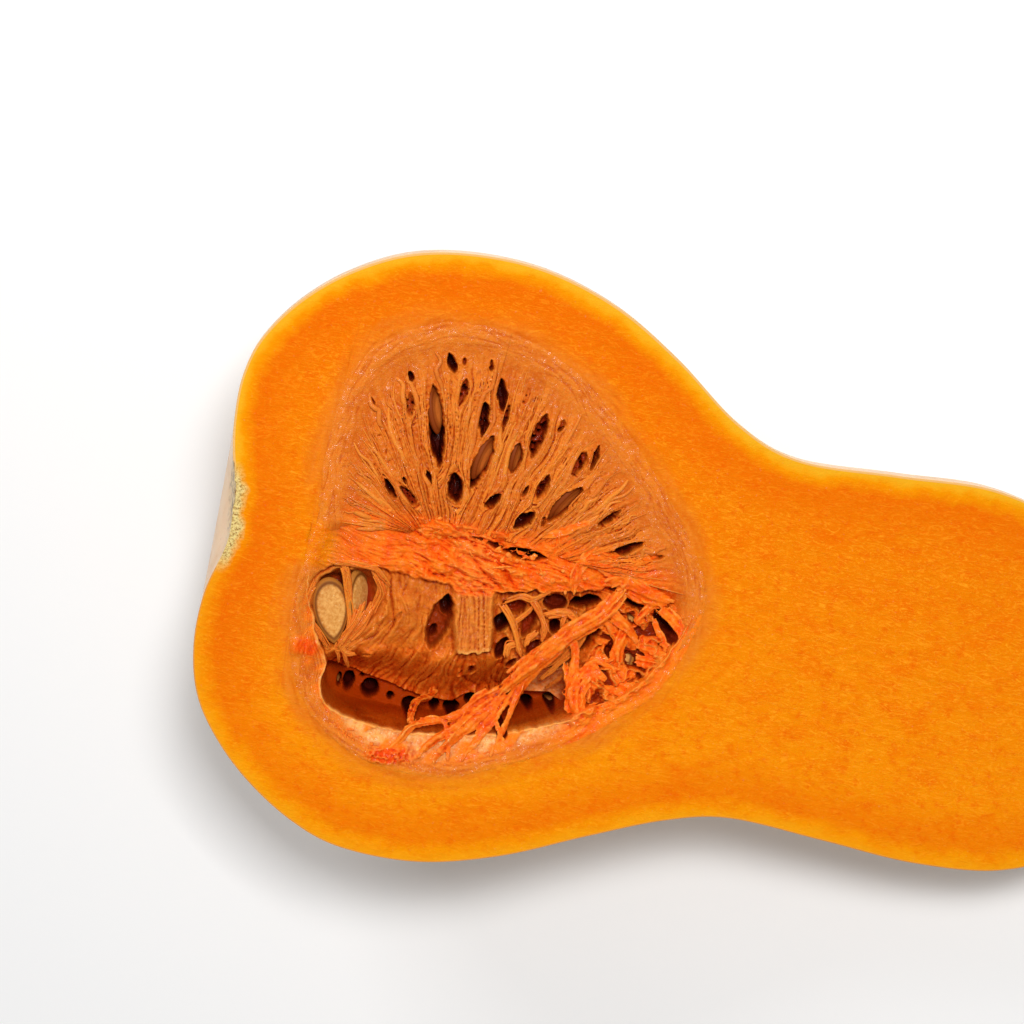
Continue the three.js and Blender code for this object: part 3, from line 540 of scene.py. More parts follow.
def shaded(looks, height, near, far):
    """Adds painted shade where a place of a relief lies below the mean of those round it, and painted light
    where it lies above.
    """
    close, wide = sunken(height, 2), sunken(height, 8)
    looks["crevice"] = np.clip(looks.get("crevice", 0) + near * close + far * wide, 0, 1)
    looks["crest"] = np.clip(-1.5 * near * close - 0.5 * far * wide, 0, 1)
    return looks


def fan_surface(angle, share):
    """The fan's places, heights and looks."""
    u, v = fan_place(angle, share)
    scale = np.hypot(np.gradient(u, axis=0), np.gradient(v, axis=0)) / (angle[1, 0] - angle[0, 0])
    turned = angle + slot_lean(u, v) / np.maximum(scale, 4)
    inward = -from_rim_of(u, v)
    reach = share * RIM_FROM_ROOT(angle)
    wander = 0.030 * rough(reach / 8, turned * 6, 3) + 0.008 * rough(reach / 2.6, turned * 20, 4)
    coarse, coarse_tone = cords((turned + wander) * 20, 11, 1.5)
    middle, middle_tone = cords((turned + 1.2 * wander) * 20, 12, 0.46)
    fine = strands((turned + wander) * 30, reach, 13, 0.5, 5)
    grain = rough(u / 0.55, v / 0.55, 6, 2)
    outer = smooth(4, 13, inward)
    strength = outer * (0.7 + 0.3 * rough(reach / 6, turned * 9, 5))
    thick = smooth(24, 6, reach) + 0.8 * smooth(0.9, 0.4, angle)
    relief = strength * ((1.2 + 0.5 * thick) * coarse + 0.4 * middle + 0.30 * fine) + outer * 0.2 * grain
    arcs, arc_tone, near_rim = rim_arcs(u, v, -inward)
    height = relief - fan_sag(inward) + arcs + over_flesh(inward)
    tuck = smooth(0.17, 0, angle - FAN_SPREAD[0]) + smooth(0.17, 0, FAN_SPREAD[1] - angle)
    height = height - tuck * (0.3 + 3.2 * smooth(0, 6, inward))
    rows = smooth(0.45, 0.15, middle) * smooth(-0.25, 0.4, rough(u / 5, v / 5, 9))
    pits = smooth(0.0, 0.5, rough(turned * 75, reach / 0.8, 8)) * smooth(5, 11, inward) * rows
    height = height - 0.8 * pits
    # Pits and slots are darkened with painted shade, most in each slot's middle and less where threads cross
    # it.
    hole = 0.65 * pits
    whole = height
    for x, y, length, width, turn, depth, threads in FAN_SLOTS:
        inside, along, across = almond(u, v, x, y, length, width, math.radians(turn))
        inside = inside + 0.55 * rough(along / 1.4, across / 1.2 + x, 10, 3)
        torn = smooth(0.25, 0.6, rough(along / 0.7 + x, across / 0.6, 14, 2) + threads)
        shape = smooth(-0.1, 0.45 + 0.18 * width, inside) * (1 - threads * torn)
        height = height - depth * shape
        height = height + 0.2 * smooth(-0.8, -0.1, inside) * (1 - smooth(-0.1, 0.3, inside))
        hole = np.maximum(hole, smooth(-0.1, 0.9, inside) * (1 - 0.85 * threads * torn))
    tone = mix(0.5 * coarse_tone + 0.2 * middle_tone + 0.3 * (1 - fine), 1 - arc_tone, near_rim)
    looks = {"tone": tone, "hole": np.clip(hole, 0, 1), "salmon": salmon_share(u, v, -inward),
             "torn": 0.7 * smooth(10, 5, v - 1.6 * rough(u / 3, v / 3, 15, 2)) * smooth(2, 9, inward)}
    return u, v, height, shaded(looks, whole, 2.4, 1.0)


def curtain_surface(u, v):
    """The band and the membrane that hangs below it: places, heights and looks."""
    level = picture_up(u, v)
    inward = -from_rim_of(u, v)
    lean = u + COLUMN_LEAN * (v + 13)
    swing = 0.5 * rough(level / 3, 0 * u + 1, 20)
    column = smooth(COLUMN_SIDES[0] - 0.8, COLUMN_SIDES[0] + 0.8, lean + swing)
    column = column * smooth(COLUMN_SIDES[1] + 0.8, COLUMN_SIDES[1] - 0.8, lean - swing)
    net = smooth(16.0, 19, lean)
    tangle = smooth(34, 40, u)
    edge = np.interp(u, *np.transpose(BAND_EDGE)) + 0.7 * rough(u / 1.8, 0 * u, 20, 3)
    band = smooth(-0.4, 0.5, v - edge + 0.8 * column)
    ledge = LEDGE + 0.8 * rough(u / 1.3, 0 * u, 23, 2) + 1.4 * smooth(6, 2, u) * (1 - net)
    ledge = mix(ledge, -26.0 + 0 * u, tangle)
    soft = mix(2.6, 0.3, column)
    drape = smooth(ledge + soft, ledge - soft, level)
    foot = np.interp(u, *np.transpose(CURTAIN_FOOT))
    fall = smooth(ledge, picture_up(u, foot), level)
    warp = 0.7 * rough(u / 5, v / 5, 26) + 0.2 * rough(u / 1.6, v / 1.6, 27)
    cheek = smooth(21, 25, u) * smooth(37, 34, u) * smooth(-17, -20, v)
    # each part of it has fibres of its own, which run in its own way
    ring = np.hypot(u - HOLLOW_MIDDLE[0], 0.8 * (v - HOLLOW_MIDDLE[1])) + warp
    round_hollow = 0.9 * strands(ring, 12 * np.arctan2(v + 14, u + 15), 28, 1.5, 8)
    round_hollow = round_hollow + 0.45 * strands(ring, v, 29, 0.6, 5)
    hanging = 0.55 * strands(u + warp + 0.25 * v, v, 30, 1.3, 5) + 0.4 * strands(u + warp, v, 31, 0.5, 3)
    upright = 0.7 * strands(lean + 0.3 * warp, v, 36, 0.8, 22) + 0.3 * strands(lean + warp, v, 66, 0.4, 9)
    upright = upright + 0.2 * rough(u / 0.5, v / 0.9, 39, 2)
    slant = u - mix(0.65, -0.15, smooth(-8, 16, u)) * (v + 28) + 1.4 * warp
    draped = 0.9 * strands(slant, v, 32, 1.7, 8) + 0.5 * strands(slant, v, 33, 0.7, 5)
    draped = draped + 0.2 * rough(u / 0.7, v / 0.9, 41, 3)
    netted = 1.3 * web(u / 3.4 + 0.1 * v, v / 5.0, 34) + 0.4 * strands(lean + warp, v, 35, 0.5, 3)
    folded, crossed = u + 1.6 * rough(u / 3, v / 3, 62, 2), v + 1.6 * rough(u / 3, v / 3, 63, 2)
    tangled = 2.3 * web(folded / 4.4, crossed / 3.4, 38) + 1.0 * web(folded / 1.5, crossed / 1.2, 39)
    tangled = tangled + 0.35 * web(folded / 0.6, crossed / 0.5, 64)
    relief = mix(round_hollow, hanging, smooth(-3, 4, u))
    relief = mix(mix(mix(relief, upright, column), netted, net), tangled, tangle)
    relief = mix(relief, mix(draped, tangled, tangle), drape) * (1 - 0.8 * cheek)
    crumbs = 0.28 * rough(u / 0.9, v / 0.6, 32, 3)
    streaks = 0.35 * strands(v + 0.12 * u + warp, u, 40, 1.0, 9)
    streaks = streaks + 0.25 * strands(v + 0.12 * u + warp, u, 67, 0.45, 5)
    heap = smooth(-12, 1, u) * mix(1.0, 0.6, smooth(16, 24, u))
    lumps = torn_lumps(u, v)
    relief = mix(relief + 0.5 * crumbs, 1.4 * streaks + heap * (0.8 * crumbs + lumps), band)
    beside = mix(5.0 + 3.4 * smooth(-9, -24, level), 5.6 + 2.4 * smooth(-6, -22, level), net)
    upper = mix(beside, 3.4 + 1.0 * smooth(-8, LEDGE, level), column)
    upper = mix(upper, 5.6 - 0.8 * smooth(44, 52, u), tangle)
    near = smooth(-20, -12, u) * (1 - tangle)
    lowest = np.minimum(bowl(u, foot) - 1, mix(3.0, 20.5 - 3 * cheek, near))
    lower = mix(mix(4.6, 8.4, near) + 0.9 * rough(u / 4, v / 4, 24), lowest, fall)
    ridge = mix(2.4, 3.8 - 0.8 * smooth(3, 7, v), heap) + 0.5 * rough(u / 5, v / 3, 25, 2)
    depth = mix(mix(upper, lower, drape), ridge, band) - relief
    rho = np.hypot(u - HOLLOW_MIDDLE[0], v - HOLLOW_MIDDLE[1]) / HOLLOW_REACH(
        np.arctan2(v - HOLLOW_MIDDLE[1], u - HOLLOW_MIDDLE[0]))
    inside = 1 - rho + 0.05 * rough(u / 2, v / 2, 33, 2)
    cup = smooth(0.0, 0.14, inside)
    floor = HOLLOW_DEPTH - 2.2 * smooth(-14, -9, u) + 0.4 * rough(u / 2.5, v / 2.5, 34, 2)
    depth = mix(depth, floor - 3.0 * smooth(0.35, 0.1, inside), cup)
    depth = depth - 0.6 * smooth(-0.12, -0.03, inside) * smooth(0.04, -0.02, inside)
    # Painted shade in the seed hollow, in the gaps of the tangle and in the membrane's windows.
    hole = cup * mix(0.22, 0.55, smooth(0.1, 0.5, inside))
    gaps = smooth(0.30, 0.0, web(folded / 4.4, crossed / 3.4, 38)) * smooth(2, 5, inward)
    hole = np.maximum(hole, 0.6 * tangle * (1 - band) * gaps)
    whole = depth
    for x, y, length, width, turn, deep, dark in CURTAIN_WINDOWS:
        inside, along, across = almond(u, v, x, y, length, width, math.radians(turn))
        inside = inside + 0.45 * rough(along / 1.5 + x, across / 1.5, 35, 3)
        depth = depth + deep * smooth(-0.1, 1.1, inside)
        depth = depth - 0.4 * smooth(-1.0, -0.1, inside) * (1 - smooth(-0.1, 0.3, inside))
        hole = np.maximum(hole, dark * smooth(-0.1, 0.9, inside))
    arcs, arc_tone, near_rim = rim_arcs(u, v, -inward)
    fade = smooth(0.0, 4.0, inward)
    depth = depth * fade - over_flesh(inward) - arcs * smooth(8, 3, inward)
    tone = 0.5 + 0.5 * rough(u / 2.2, v / 2.2, 37, 3)
    torn = np.maximum(band * smooth(-28, -10, u), 0.9 * tangle) * smooth(0, 6, inward)
    # Painted highlight along the column's lower end; the column is also painted a little paler all over.
    edge_light = smooth(0.9, 0.2, np.abs(level - ledge - 0.4)) * column
    looks = {"tone": mix(tone, 1 - arc_tone, near_rim), "hole": np.clip(hole, 0, 1),
             "torn": np.maximum(torn, 0.5 * drape * (1 - band)), "salmon": salmon_share(u, v, -inward),
             "pale": np.clip(0.1 * column + 0.5 * edge_light, 0, 1) * (1 - drape), "bare": 0.5 * cheek,
             # Painted shade on the column, the net and, growing downwards, the drape, besides that of the
             # relief.
             "crevice": (0.08 * column + 0.26 * drape * fall ** 3 + 0.2 * net)
             * (1 - band) * (1 - tangle) * (1 - cheek)}
    return u, v, -depth, shaded(looks, -whole * fade - arcs, 1.3, 0.5)


def lining_surface(angle, share):
    """The pocket's wall: from the rim in over a shelf to its lip, then down into the bowl."""
    lip = LIP_REACH(angle) + 0.45 * rough(angle * 14, 0 * angle, 57, 3)
    lip_u, lip_v = outline_at(LIP_MIDDLE, lip, angle)
    rim_u, rim_v = outline_at(LIP_MIDDLE, RIM_FROM_LIP_MIDDLE(angle) + OVERLAP, angle)
    shelf = np.clip(share - 1, 0, 1)
    within = np.clip(share, 0, 1)
    u = mix(mix(LIP_MIDDLE[0], lip_u, within), rim_u, shelf)
    v = mix(mix(LIP_MIDDLE[1], lip_v, within), rim_v, shelf)
    inward = -from_rim_of(u, v)
    past_lip = (1 - within) * lip
    drop = 2.4 + 15 * past_lip
    wall = np.minimum(bowl(u, v) - 0.5, 22.0)
    slope = 2.4 * smooth(-0.2, 5.5, inward) ** 0.8
    depth = np.where(share > 1, slope, wall - np.logaddexp(0, (wall - drop) / 2.0) * 2.0)
    fibrous = 0.77 * u + 0.64 * v + 0.9 * rough(u / 5, v / 5, 36)
    frays = strands(0.77 * v - 0.64 * u + 0.9 * rough(u / 4, v / 4, 65), fibrous, 37, 1.7, 7) ** 3
    fade = smooth(0.3, 3, inward)
    arcs, arc_tone, near_rim = rim_arcs(u, v, -inward)
    depth = depth - 0.35 * smooth(0.7, 0.0, np.abs(share - 1) * np.where(share > 1, 7, lip))
    wild = fade * smooth(0.97, 1.02, share) * mix(0.15, 1.0, smooth(-13, -2, u))
    terraces = smooth(1.0, 1.03, share) * smooth(1.5, 1.2, share) * smooth(-6, -12, u)
    terraces = terraces * (0.5 + 0.5 * np.cos(14 * (share - 1) * (6 + rough(u / 6, v / 6, 66))))
    depth = depth - 0.16 * terraces
    depth = depth - wild * (0.35 * rough(u / 1.4, v / 1.4, 38, 3) + 0.6 * frays)
    beads = smooth(1.3, 0.7, np.hypot(u / 5.4, (v + 43.3 - 0.15 * u) / 1.7) + 0.2 * rough(u, v, 67))
    depth = depth - beads * (0.2 + 0.9 * web(u / 1.2, v / 1.2, 68))
    spot = smooth(1.2, 0.5, np.hypot((u + 21.6) / 3.2, (v + 24.0) / 2.4) + 0.3 * rough(u / 2, v / 2, 69))
    depth = depth - spot * (0.4 + 0.5 * strands(u, v, 70, 0.8, 5))
    beads = np.maximum(beads, spot)
    torn_end = smooth(30, 40, u)
    depth = depth - torn_end * fade * (2.0 * web(u / 3.2, v / 3.2, 58) + 0.7 * web(u / 1.2, v / 1.2, 59))
    whole = depth
    depth = depth - arcs * smooth(8, 3, inward) - over_flesh(inward)
    # Painted shade in the arches and in the torn web at the pocket's far end.
    hole = np.zeros_like(u)
    for x, y, width, tall in ARCHES:
        far = np.hypot((u - x) / (width / 2), (v - y) / (tall / 2))
        inside = 1 - far + 0.06 * rough(u, v, 39)
        depth = depth + 7 * smooth(0, 0.35, inside)
        hole = np.maximum(hole, smooth(-0.02, 0.25, inside))
    on_shelf = smooth(0.99, 1.03, share)
    cream = smooth(-18, -4, u) * smooth(40, 28, u) * smooth(1.0, 4.0, inward) * on_shelf
    cream = cream * smooth(-0.8, -0.1, rough(u / 3, v / 3, 40, 3) + smooth(-12, 2, u))
    # Painted highlight along the pocket's lip.
    lip_light = np.where(share > 1, smooth(0.8, 0.1, 7 * (share - 1)), smooth(3.4, 2.7, whole))
    lip_light = lip_light * smooth(-0.5, 0.3, rough(angle * 20, share, 60, 2)) * (1 - torn_end)
    hole = np.maximum(hole, 0.7 * torn_end * (1 - on_shelf) * smooth(0.3, 0.0, web(u / 3.2, v / 3.2, 58)))
    # Painted highlight specks on the cream shelf.
    painted_highlight_specks = smooth(0.0, 0.5, rough(u / 1.1, v / 1.1, 61, 2))
    looks = {"tone": np.maximum(mix(1 - np.maximum(frays, terraces), 1 - arc_tone, near_rim), beads),
             "hole": hole,
             # Painted shade that grows towards the bowl's floor; on the bead heap it deepens the red, partly
             # the beads' own colour and partly painted shade.
             "crevice": 0.5 * (1 - on_shelf) * smooth(9, 20, whole) * (1 - torn_end) + 0.16 * beads,
             "salmon": salmon_share(u, v, -inward), "bare": np.clip(0.95 * cream * (1 - frays), 0, 1),
             "pale": np.clip(0.7 * lip_light + 0.9 * cream * (1 - frays) * painted_highlight_specks, 0, 1),
             "torn": np.maximum(np.maximum(torn_end, beads), 0.9 * on_shelf * fade * frays),
             "shade": (1 - on_shelf) * smooth(2.6, mix(4, 10, smooth(-4, 8, u)), whole)
             * (1 - torn_end) * mix(0.7, 1, smooth(-17, -11, u))}
    return u, v, -depth, shaded(looks, -whole, 1.3 * mix(0.2, 1, on_shelf), 0.4 * on_shelf)


def new_object(name, data):
    """A mesh, curve, light or camera as an object of the scene."""
    obj = bpy.data.objects.new(name, data)
    bpy.context.scene.collection.objects.link(obj)
    return obj


def mesh_from(bm, name):
    """Ends a bmesh as a new mesh."""
    mesh = bpy.data.meshes.new(name)
    bm.to_mesh(mesh)
    bm.free()
    return mesh


def baked(obj):
    """The mesh that an object's curve or modifiers make, which takes the object's place."""
    graph = bpy.context.evaluated_depsgraph_get()
    mesh = bpy.data.meshes.new_from_object(obj.evaluated_get(graph))
    bpy.data.objects.remove(obj)
    return mesh


def points_of(mesh, kind="co"):
    """A mesh's points, or the normals at them, one in each row."""
    flat = np.empty(3 * len(mesh.vertices))
    mesh.vertices.foreach_get(kind, flat)
    return flat.reshape(-1, 3)


def set_points(mesh, points):
    mesh.vertices.foreach_set("co", np.asarray(points, float).ravel())
    mesh.update()


def set_value(mesh, name, values):
    layer = mesh.attributes.new(name, "FLOAT", "POINT")
    layer.data.foreach_set("value", np.asarray(values, np.float32).ravel())


def face_outwards(mesh):
    """Turns a closed mesh the right way round, by the sign of its volume."""
    mesh.calc_loop_triangles()
    corners = np.empty(3 * len(mesh.loop_triangles), int)
    mesh.loop_triangles.foreach_get("vertices", corners)
    a, b, c = points_of(mesh)[corners.reshape(-1, 3)].transpose(1, 0, 2)
    if np.einsum("ij,ij->", a, np.cross(b, c)) < 0:
        mesh.flip_normals()


def finish(obj, materials, nodes):
    """Puts a piece drawn in the cut's frame in its place, parents it to the root body and hides the nodes
    that it stands for.
    """
    mesh = obj.data
    origin = np.array(CUT_ORIGIN)
    points = points_of(mesh) @ TO_ROW + origin
    points[:, 2] = np.maximum(points[:, 2], 0)
    set_points(mesh, points)
    face_outwards(mesh)
    mesh.polygons.foreach_set("use_smooth", np.ones(len(mesh.polygons), bool))
    mesh.materials.clear()
    for material in materials:
        mesh.materials.append(material)
    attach(obj, "root")
    if nodes:
        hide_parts(*nodes)


def sphere_mesh(name, sides, rows):
    """A sphere's mesh with each point's row, from 0 to rows, and side, from 0 to sides - 1."""
    bm = bmesh.new()
    bmesh.ops.create_uvsphere(bm, u_segments=sides, v_segments=rows, radius=1.0)
    mesh = mesh_from(bm, name)
    points = points_of(mesh)
    row = np.rint(np.arccos(np.clip(points[:, 2], -1, 1)) * rows / math.pi).astype(int)
    side = np.rint(np.arctan2(points[:, 1], points[:, 0]) * sides / (2 * math.pi)).astype(int) % sides
    return mesh, row, side


def eased(count, ends):
    """count + 1 shares from 0 to 1, packed closer at both ends."""
    share = np.linspace(0, 1, count + 1)
    return share - ends * np.sin(2 * math.pi * share) / (2 * math.pi)


def rim_crossings(bottom, top):
    """Where the line across the cut enters and leaves the cavity, as shares of it."""
    share = np.linspace(0, 1, 400)
    line = bottom + (top - bottom) * share[:, None]
    inside = np.flatnonzero(share_of_cavity(line[:, 0], line[:, 1]) < 1)
    least = 2.0 / max(np.linalg.norm(top - bottom), 1e-3)
    if inside.size:
        first, last = share[inside[0]], share[inside[-1]]
        middle, half = (first + last) / 2, max((last - first) / 2, least)
        return max(middle - half, 0.02), min(middle + half, 0.98)
    return max(0.5 - least, 0.3), min(0.5 + least, 0.7)


def fruit_back(top, bottom):
    """Rows of places round the back, from the lower edge of the cut to its upper one."""
    start = math.asin(PAST_MIDDLE)
    angle = -start + (math.pi + 2 * start) * np.arange(RIND_SIDES + 1) / RIND_SIDES
    middle, half = (top + bottom) / 2, (top - bottom) / 2
    across = half[:, None, :] * (np.cos(angle) / math.cos(start))[None, :, None]
    depth = DEPTH_TO_WIDTH * np.linalg.norm(half, axis=1)[:, None] * (PAST_MIDDLE + np.sin(angle))
    back = np.dstack([middle[:, None, :] + across, -depth])
    back[:, (0, -1), 2] = 0
    gap = np.linalg.norm(back - BLOSSOM, axis=-1)
    back[..., 0] -= smooth(11, 4, gap) * 0.35 * rough(back[..., 1] / 1.1, back[..., 2] / 1.1, 51, 3)
    return back


def fruit_face(top, bottom, at):
    """Rows of places across the cut, closer together at the rim of the cavity."""
    rows = []
    # rows near the ends bow inwards, because the outline is drawn in there
    middle = (top[:, 0] + bottom[:, 0]) / 2
    bow = np.maximum(0, mix(top[0, 0], top[0, 0] + 3, at / 0.2) - middle) * (at < 0.4)
    bow -= np.maximum(0, middle - mix(top[-1, 0], top[-1, 0] - 10, (1 - at) / 0.2)) * (at > 0.6)
    for first, last, bowed in zip(bottom, top, bow):
        enter, leave = rim_crossings(first, last)
        shares = np.concatenate([
            enter * eased(FACE_SIDES[0], 0.9),
            enter + (leave - enter) * eased(FACE_SIDES[1], 0.8)[1:],
            leave + (1 - leave) * eased(FACE_SIDES[2], 0.9)[1:]])[1:-1]
        row = first + (last - first) * shares[:, None]
        row[:, 0] += bowed * np.sin(math.pi * shares) ** 0.5
        rows.append(row)
    return np.array(rows)


def flesh_mesh():
    """Rind, cut face and cavity as one closed skin, from a sphere whose poles are its ends.

    Also says for each of its faces whether it lies on the cut and not on the rind."""
    sides = RIND_SIDES + sum(FACE_SIDES)
    mesh, row, side = sphere_mesh("squash_flesh", sides, FRUIT_ROWS)
    at = np.linspace(0, 1, FRUIT_ROWS + 1)
    top, bottom = spline(UPPER_EDGE, at), spline(LOWER_EDGE, at)
    u, v = np.moveaxis(fruit_face(top, bottom, at), -1, 0)
    from_skin, from_rim = nearest(EDGE_POINTS, u, v), from_rim_of(u, v)
    arcs, tone, _ = rim_arcs(u, v, from_rim)
    sunk = 9 * smooth(-3, -7, from_rim) - 0.25 * smooth(0.0, -0.3, from_rim) * rough(u / 2.4, v / 2.4, 45, 2)
    w = np.where(from_rim < 0, -bowl(u, v) - sunk, arcs * smooth(0.2, 1.5, from_skin))
    grid = np.concatenate([fruit_back(top, bottom), np.dstack([u, v, w])], axis=1)
    set_points(mesh, grid[row, side])
    rind = np.zeros((FRUIT_ROWS + 1, RIND_SIDES + 1))
    for key, on_rind, on_face in (("from_skin", 0, from_skin), ("from_rim", 60, from_rim),
                                  ("tone", 0, 1 - tone), ("salmon", 0, salmon_share(u, v, from_rim))):
        set_value(mesh, key, np.hstack([rind + on_rind, on_face])[row, side])
    sides_met = [[side[i] for i in polygon.vertices] for polygon in mesh.polygons]
    first, last = np.array([min(met) for met in sides_met]), np.array([max(met) for met in sides_met])
    return mesh, (first >= RIND_SIDES) | (last - first >= sides // 2)


def relief_patch(name, surface, bottom):
    """A closed piece: a relief over a grid of places, with upright sides and a flat bottom."""
    u, v, height, looks = surface
    rows, columns = u.shape
    bm = bmesh.new()
    bmesh.ops.create_grid(bm, x_segments=columns - 1, y_segments=rows - 1, size=1.0)
    rim = [edge for edge in bm.edges if edge.is_boundary]
    skirt = bmesh.ops.extrude_edge_only(bm, edges=rim)["geom"]
    for vert in [item for item in skirt if isinstance(item, bmesh.types.BMVert)]:
        vert.co.z = -1
    bmesh.ops.holes_fill(bm, edges=[edge for edge in bm.edges if edge.is_boundary], sides=0)
    mesh = mesh_from(bm, name)
    points = points_of(mesh)
    column = np.rint((points[:, 0] + 1) * (columns - 1) / 2).astype(int)
    row = np.rint((points[:, 1] + 1) * (rows - 1) / 2).astype(int)
    placed = np.stack([grid[row, column] for grid in (u, v, height)], axis=1)
    placed[points[:, 2] < -0.5, 2] = bottom
    set_points(mesh, placed)
    for key, grid in looks.items():
        set_value(mesh, key, grid[row, column])
    return mesh


def fan_meshes():
    """The fan in two halves that share their middle border."""
    for name, first, last in (("right", FAN_SPREAD[0], FAN_SEAM), ("left", FAN_SEAM, FAN_SPREAD[1])):
        angle = np.linspace(first, last, FAN_GRID[0])
        angle, share = np.meshgrid(angle, np.linspace(0.05, 1.0, FAN_GRID[1]), indexing="ij")
        yield relief_patch("pulp_fan_" + name, fan_surface(angle, share), PATCH_BOTTOM)


def curtain_mesh():
    """The band and the curtain below it, from the band's upper edge to the foot."""
    u = np.linspace(CURTAIN_FOOT[0][0], CURTAIN_FOOT[-1][0], CURTAIN_GRID[0])
    foot = np.interp(u, *np.transpose(CURTAIN_FOOT))
    top = np.interp(u, *np.transpose(CURTAIN_TOP))
    share = np.linspace(0, 1, CURTAIN_GRID[1])
    v = top[:, None] + (foot - top)[:, None] * share[None, :]
    u = np.repeat(u[:, None], CURTAIN_GRID[1], axis=1)
    return relief_patch("pulp_curtain", curtain_surface(u, v), PATCH_BOTTOM)


def lining_mesh():
    """The pocket's lining, from the bowl out to the rim."""
    columns, inner, wall, shelf = LINING_GRID
    angle = np.linspace(*LINING_SPREAD, columns)
    share = np.concatenate([np.linspace(0.25, 0.84, inner), np.linspace(0.84, 1.0, wall)[1:],
                            np.linspace(1, 2, shelf)[1:]])
    angle, share = np.meshgrid(angle, share, indexing="ij")
    return relief_patch("pulp_lining", lining_surface(angle, share), LINING_BOTTOM)


def tubes_mesh(name, paths, torn=0.0):
    """One mesh of round fibres. Each path is (points, radii, tone)."""
    curve = bpy.data.curves.new(name, "CURVE")
    curve.dimensions = "3D"
    curve.bevel_depth = 1.0
    curve.bevel_resolution = 1
    for points, radii, _ in paths:
        line = curve.splines.new("POLY")
        line.points.add(len(points) - 1)
        line.points.foreach_set("co", np.column_stack([points, np.ones(len(points))]).ravel())
        line.points.foreach_set("radius", np.asarray(radii, float))
    mesh = baked(new_object(name, curve))
    mesh.name = name
    bpy.data.curves.remove(curve)
    bm = bmesh.new()
    bm.from_mesh(mesh)
    bmesh.ops.holes_fill(bm, edges=[edge for edge in bm.edges if edge.is_boundary], sides=0)
    bm.to_mesh(mesh)
    bm.free()
    counts = np.array([len(points) for points, _, _ in paths])
    around = len(mesh.vertices) // counts.sum()
    set_value(mesh, "tone", np.repeat([tone for _, _, tone in paths], counts * around))
    # Every tube fibre gets half the painted light of a ridge.
    set_value(mesh, "crest", np.full(len(mesh.vertices), 0.5))
    set_looks(mesh, torn)
    return mesh


def set_looks(mesh, torn):
    """Marks a mesh as pulp, torn to some degree."""
    set_value(mesh, "torn", np.full(len(mesh.vertices), torn))
    set_value(mesh, "salmon", np.ones(len(mesh.vertices)))


def wavy(points, share, size, random):
    """A smooth random swerve along a line, none at its ends."""
    knots = random.normal(0, size, (max(len(points) + 1, 4), 3))
    return spline(knots, share) * np.sin(math.pi * share)[:, None] ** 0.5


def fibre(points, first, last, random, steps=14, wander=0.25):
    """A fibre through some points, thinner at its tips, with a little wander."""
    share = np.linspace(0, 1, steps)
    line = spline(points, share) + wavy(points, share, wander, random)
    radii = 0.5 * mix(first, last, share) * (0.3 + 0.7 * np.sin(math.pi * share) ** 0.35)
    return line, np.clip(radii, 0.04, None), random.uniform(0, 1)


def rope(points, first, last, random, steps=26):
    """A torn strand: fine fibres side by side, spread in the middle and frayed at the ends."""
    share = np.linspace(0, 1, steps)
    middle = spline(points, share)
    width = mix(first, last, share)
    paths = []
    for i in range(int(6 + 10 * first)):
        start, end = random.normal(0, 0.27, (2, 3)) * (1, 1, 0.45)
        end = mix(start, end, 0.5)
        offset = mix(start[None, :], end[None, :], share[:, None]) * width[:, None]
        loose = 0.08 if i % 4 else 0.30
        line = middle + offset + wavy(points, share, loose * first ** 0.5, random)
        thick = random.uniform(0.42, 0.70) * width ** 0.5 if i % 4 else random.uniform(0.26, 0.40)
        radii = 0.5 * thick * (0.3 + 0.7 * np.sin(math.pi * share) ** 0.4)
        first_step = random.integers(0, 4)
        last_step = steps - random.integers(0, 5)
        paths.append((line[first_step:last_step], radii[first_step:last_step], random.uniform(0, 1)))
    return paths


def fan_fibres():
    """Fibres that run out over the fan from the band and pass beside the slots."""
    random = np.random.default_rng(61)
    share = np.linspace(0, 1, 26)
    paths = []
    for i in range(FAN_FIBRES):
        angle = random.uniform(math.radians(-4), math.radians(184))
        swerve = 0.012 * spline(random.normal(0, 1, (5, 1)), share)[:, 0]
        start, end = (0.08, random.uniform(0.5, 0.93)) if i % 2 else sorted(random.uniform(0.1, 0.95, 2))
        u, v = fan_place(angle + swerve, mix(start, max(end, start + 0.2), share))
        for x, y, length, width, turn, *_ in FAN_SLOTS:
            turn = math.radians(turn)
            _, along, across = almond(u, v, x, y, length, width, turn)
            room = room_by_slot(along, length, width)
            if not np.any(np.abs(across) < room):
                continue
            side = 1.0 if np.sum(across * room) > 0 else -1.0
            push = np.where(room > 0, side * np.hypot(np.maximum(side * across, 0), room) - across, 0)
            u, v = u - push * math.sin(turn), v + push * math.cos(turn)
        thick = random.uniform(0.22, 0.5) if i % 4 else random.uniform(0.7, 1.25)
        inward = nearest(RIM_POINTS, u, v)
        if inward.min() < 3 or crosses_slot(u, v):
            continue
        w = 0.62 - fan_sag(inward) + 0.1 * np.convolve(random.normal(0, 1, 30), np.ones(5) / 5, "valid")
        radii = 0.5 * thick * (0.25 + 0.75 * np.sin(math.pi * share) ** 0.5)
        w = w - 0.9 * (1 - np.sin(math.pi * share) ** 0.3)
        paths.append((np.column_stack([u, v, w]), radii, random.uniform(0, 1)))
    return paths


def crosses_slot(u, v):
    """Whether a fibre runs across the open part of a slot."""
    crossed = 0
    for x, y, length, width, turn, *_ in FAN_SLOTS:
        inside, _, _ = almond(u, v, x, y, length, width, math.radians(turn))
        crossed += np.count_nonzero(inside > 0.3)
    return crossed > 3


def ropes(table, random):
    """The fibres of all strands of a table."""
    return [path for first, last, points in table for path in rope(points, first, last, random)]


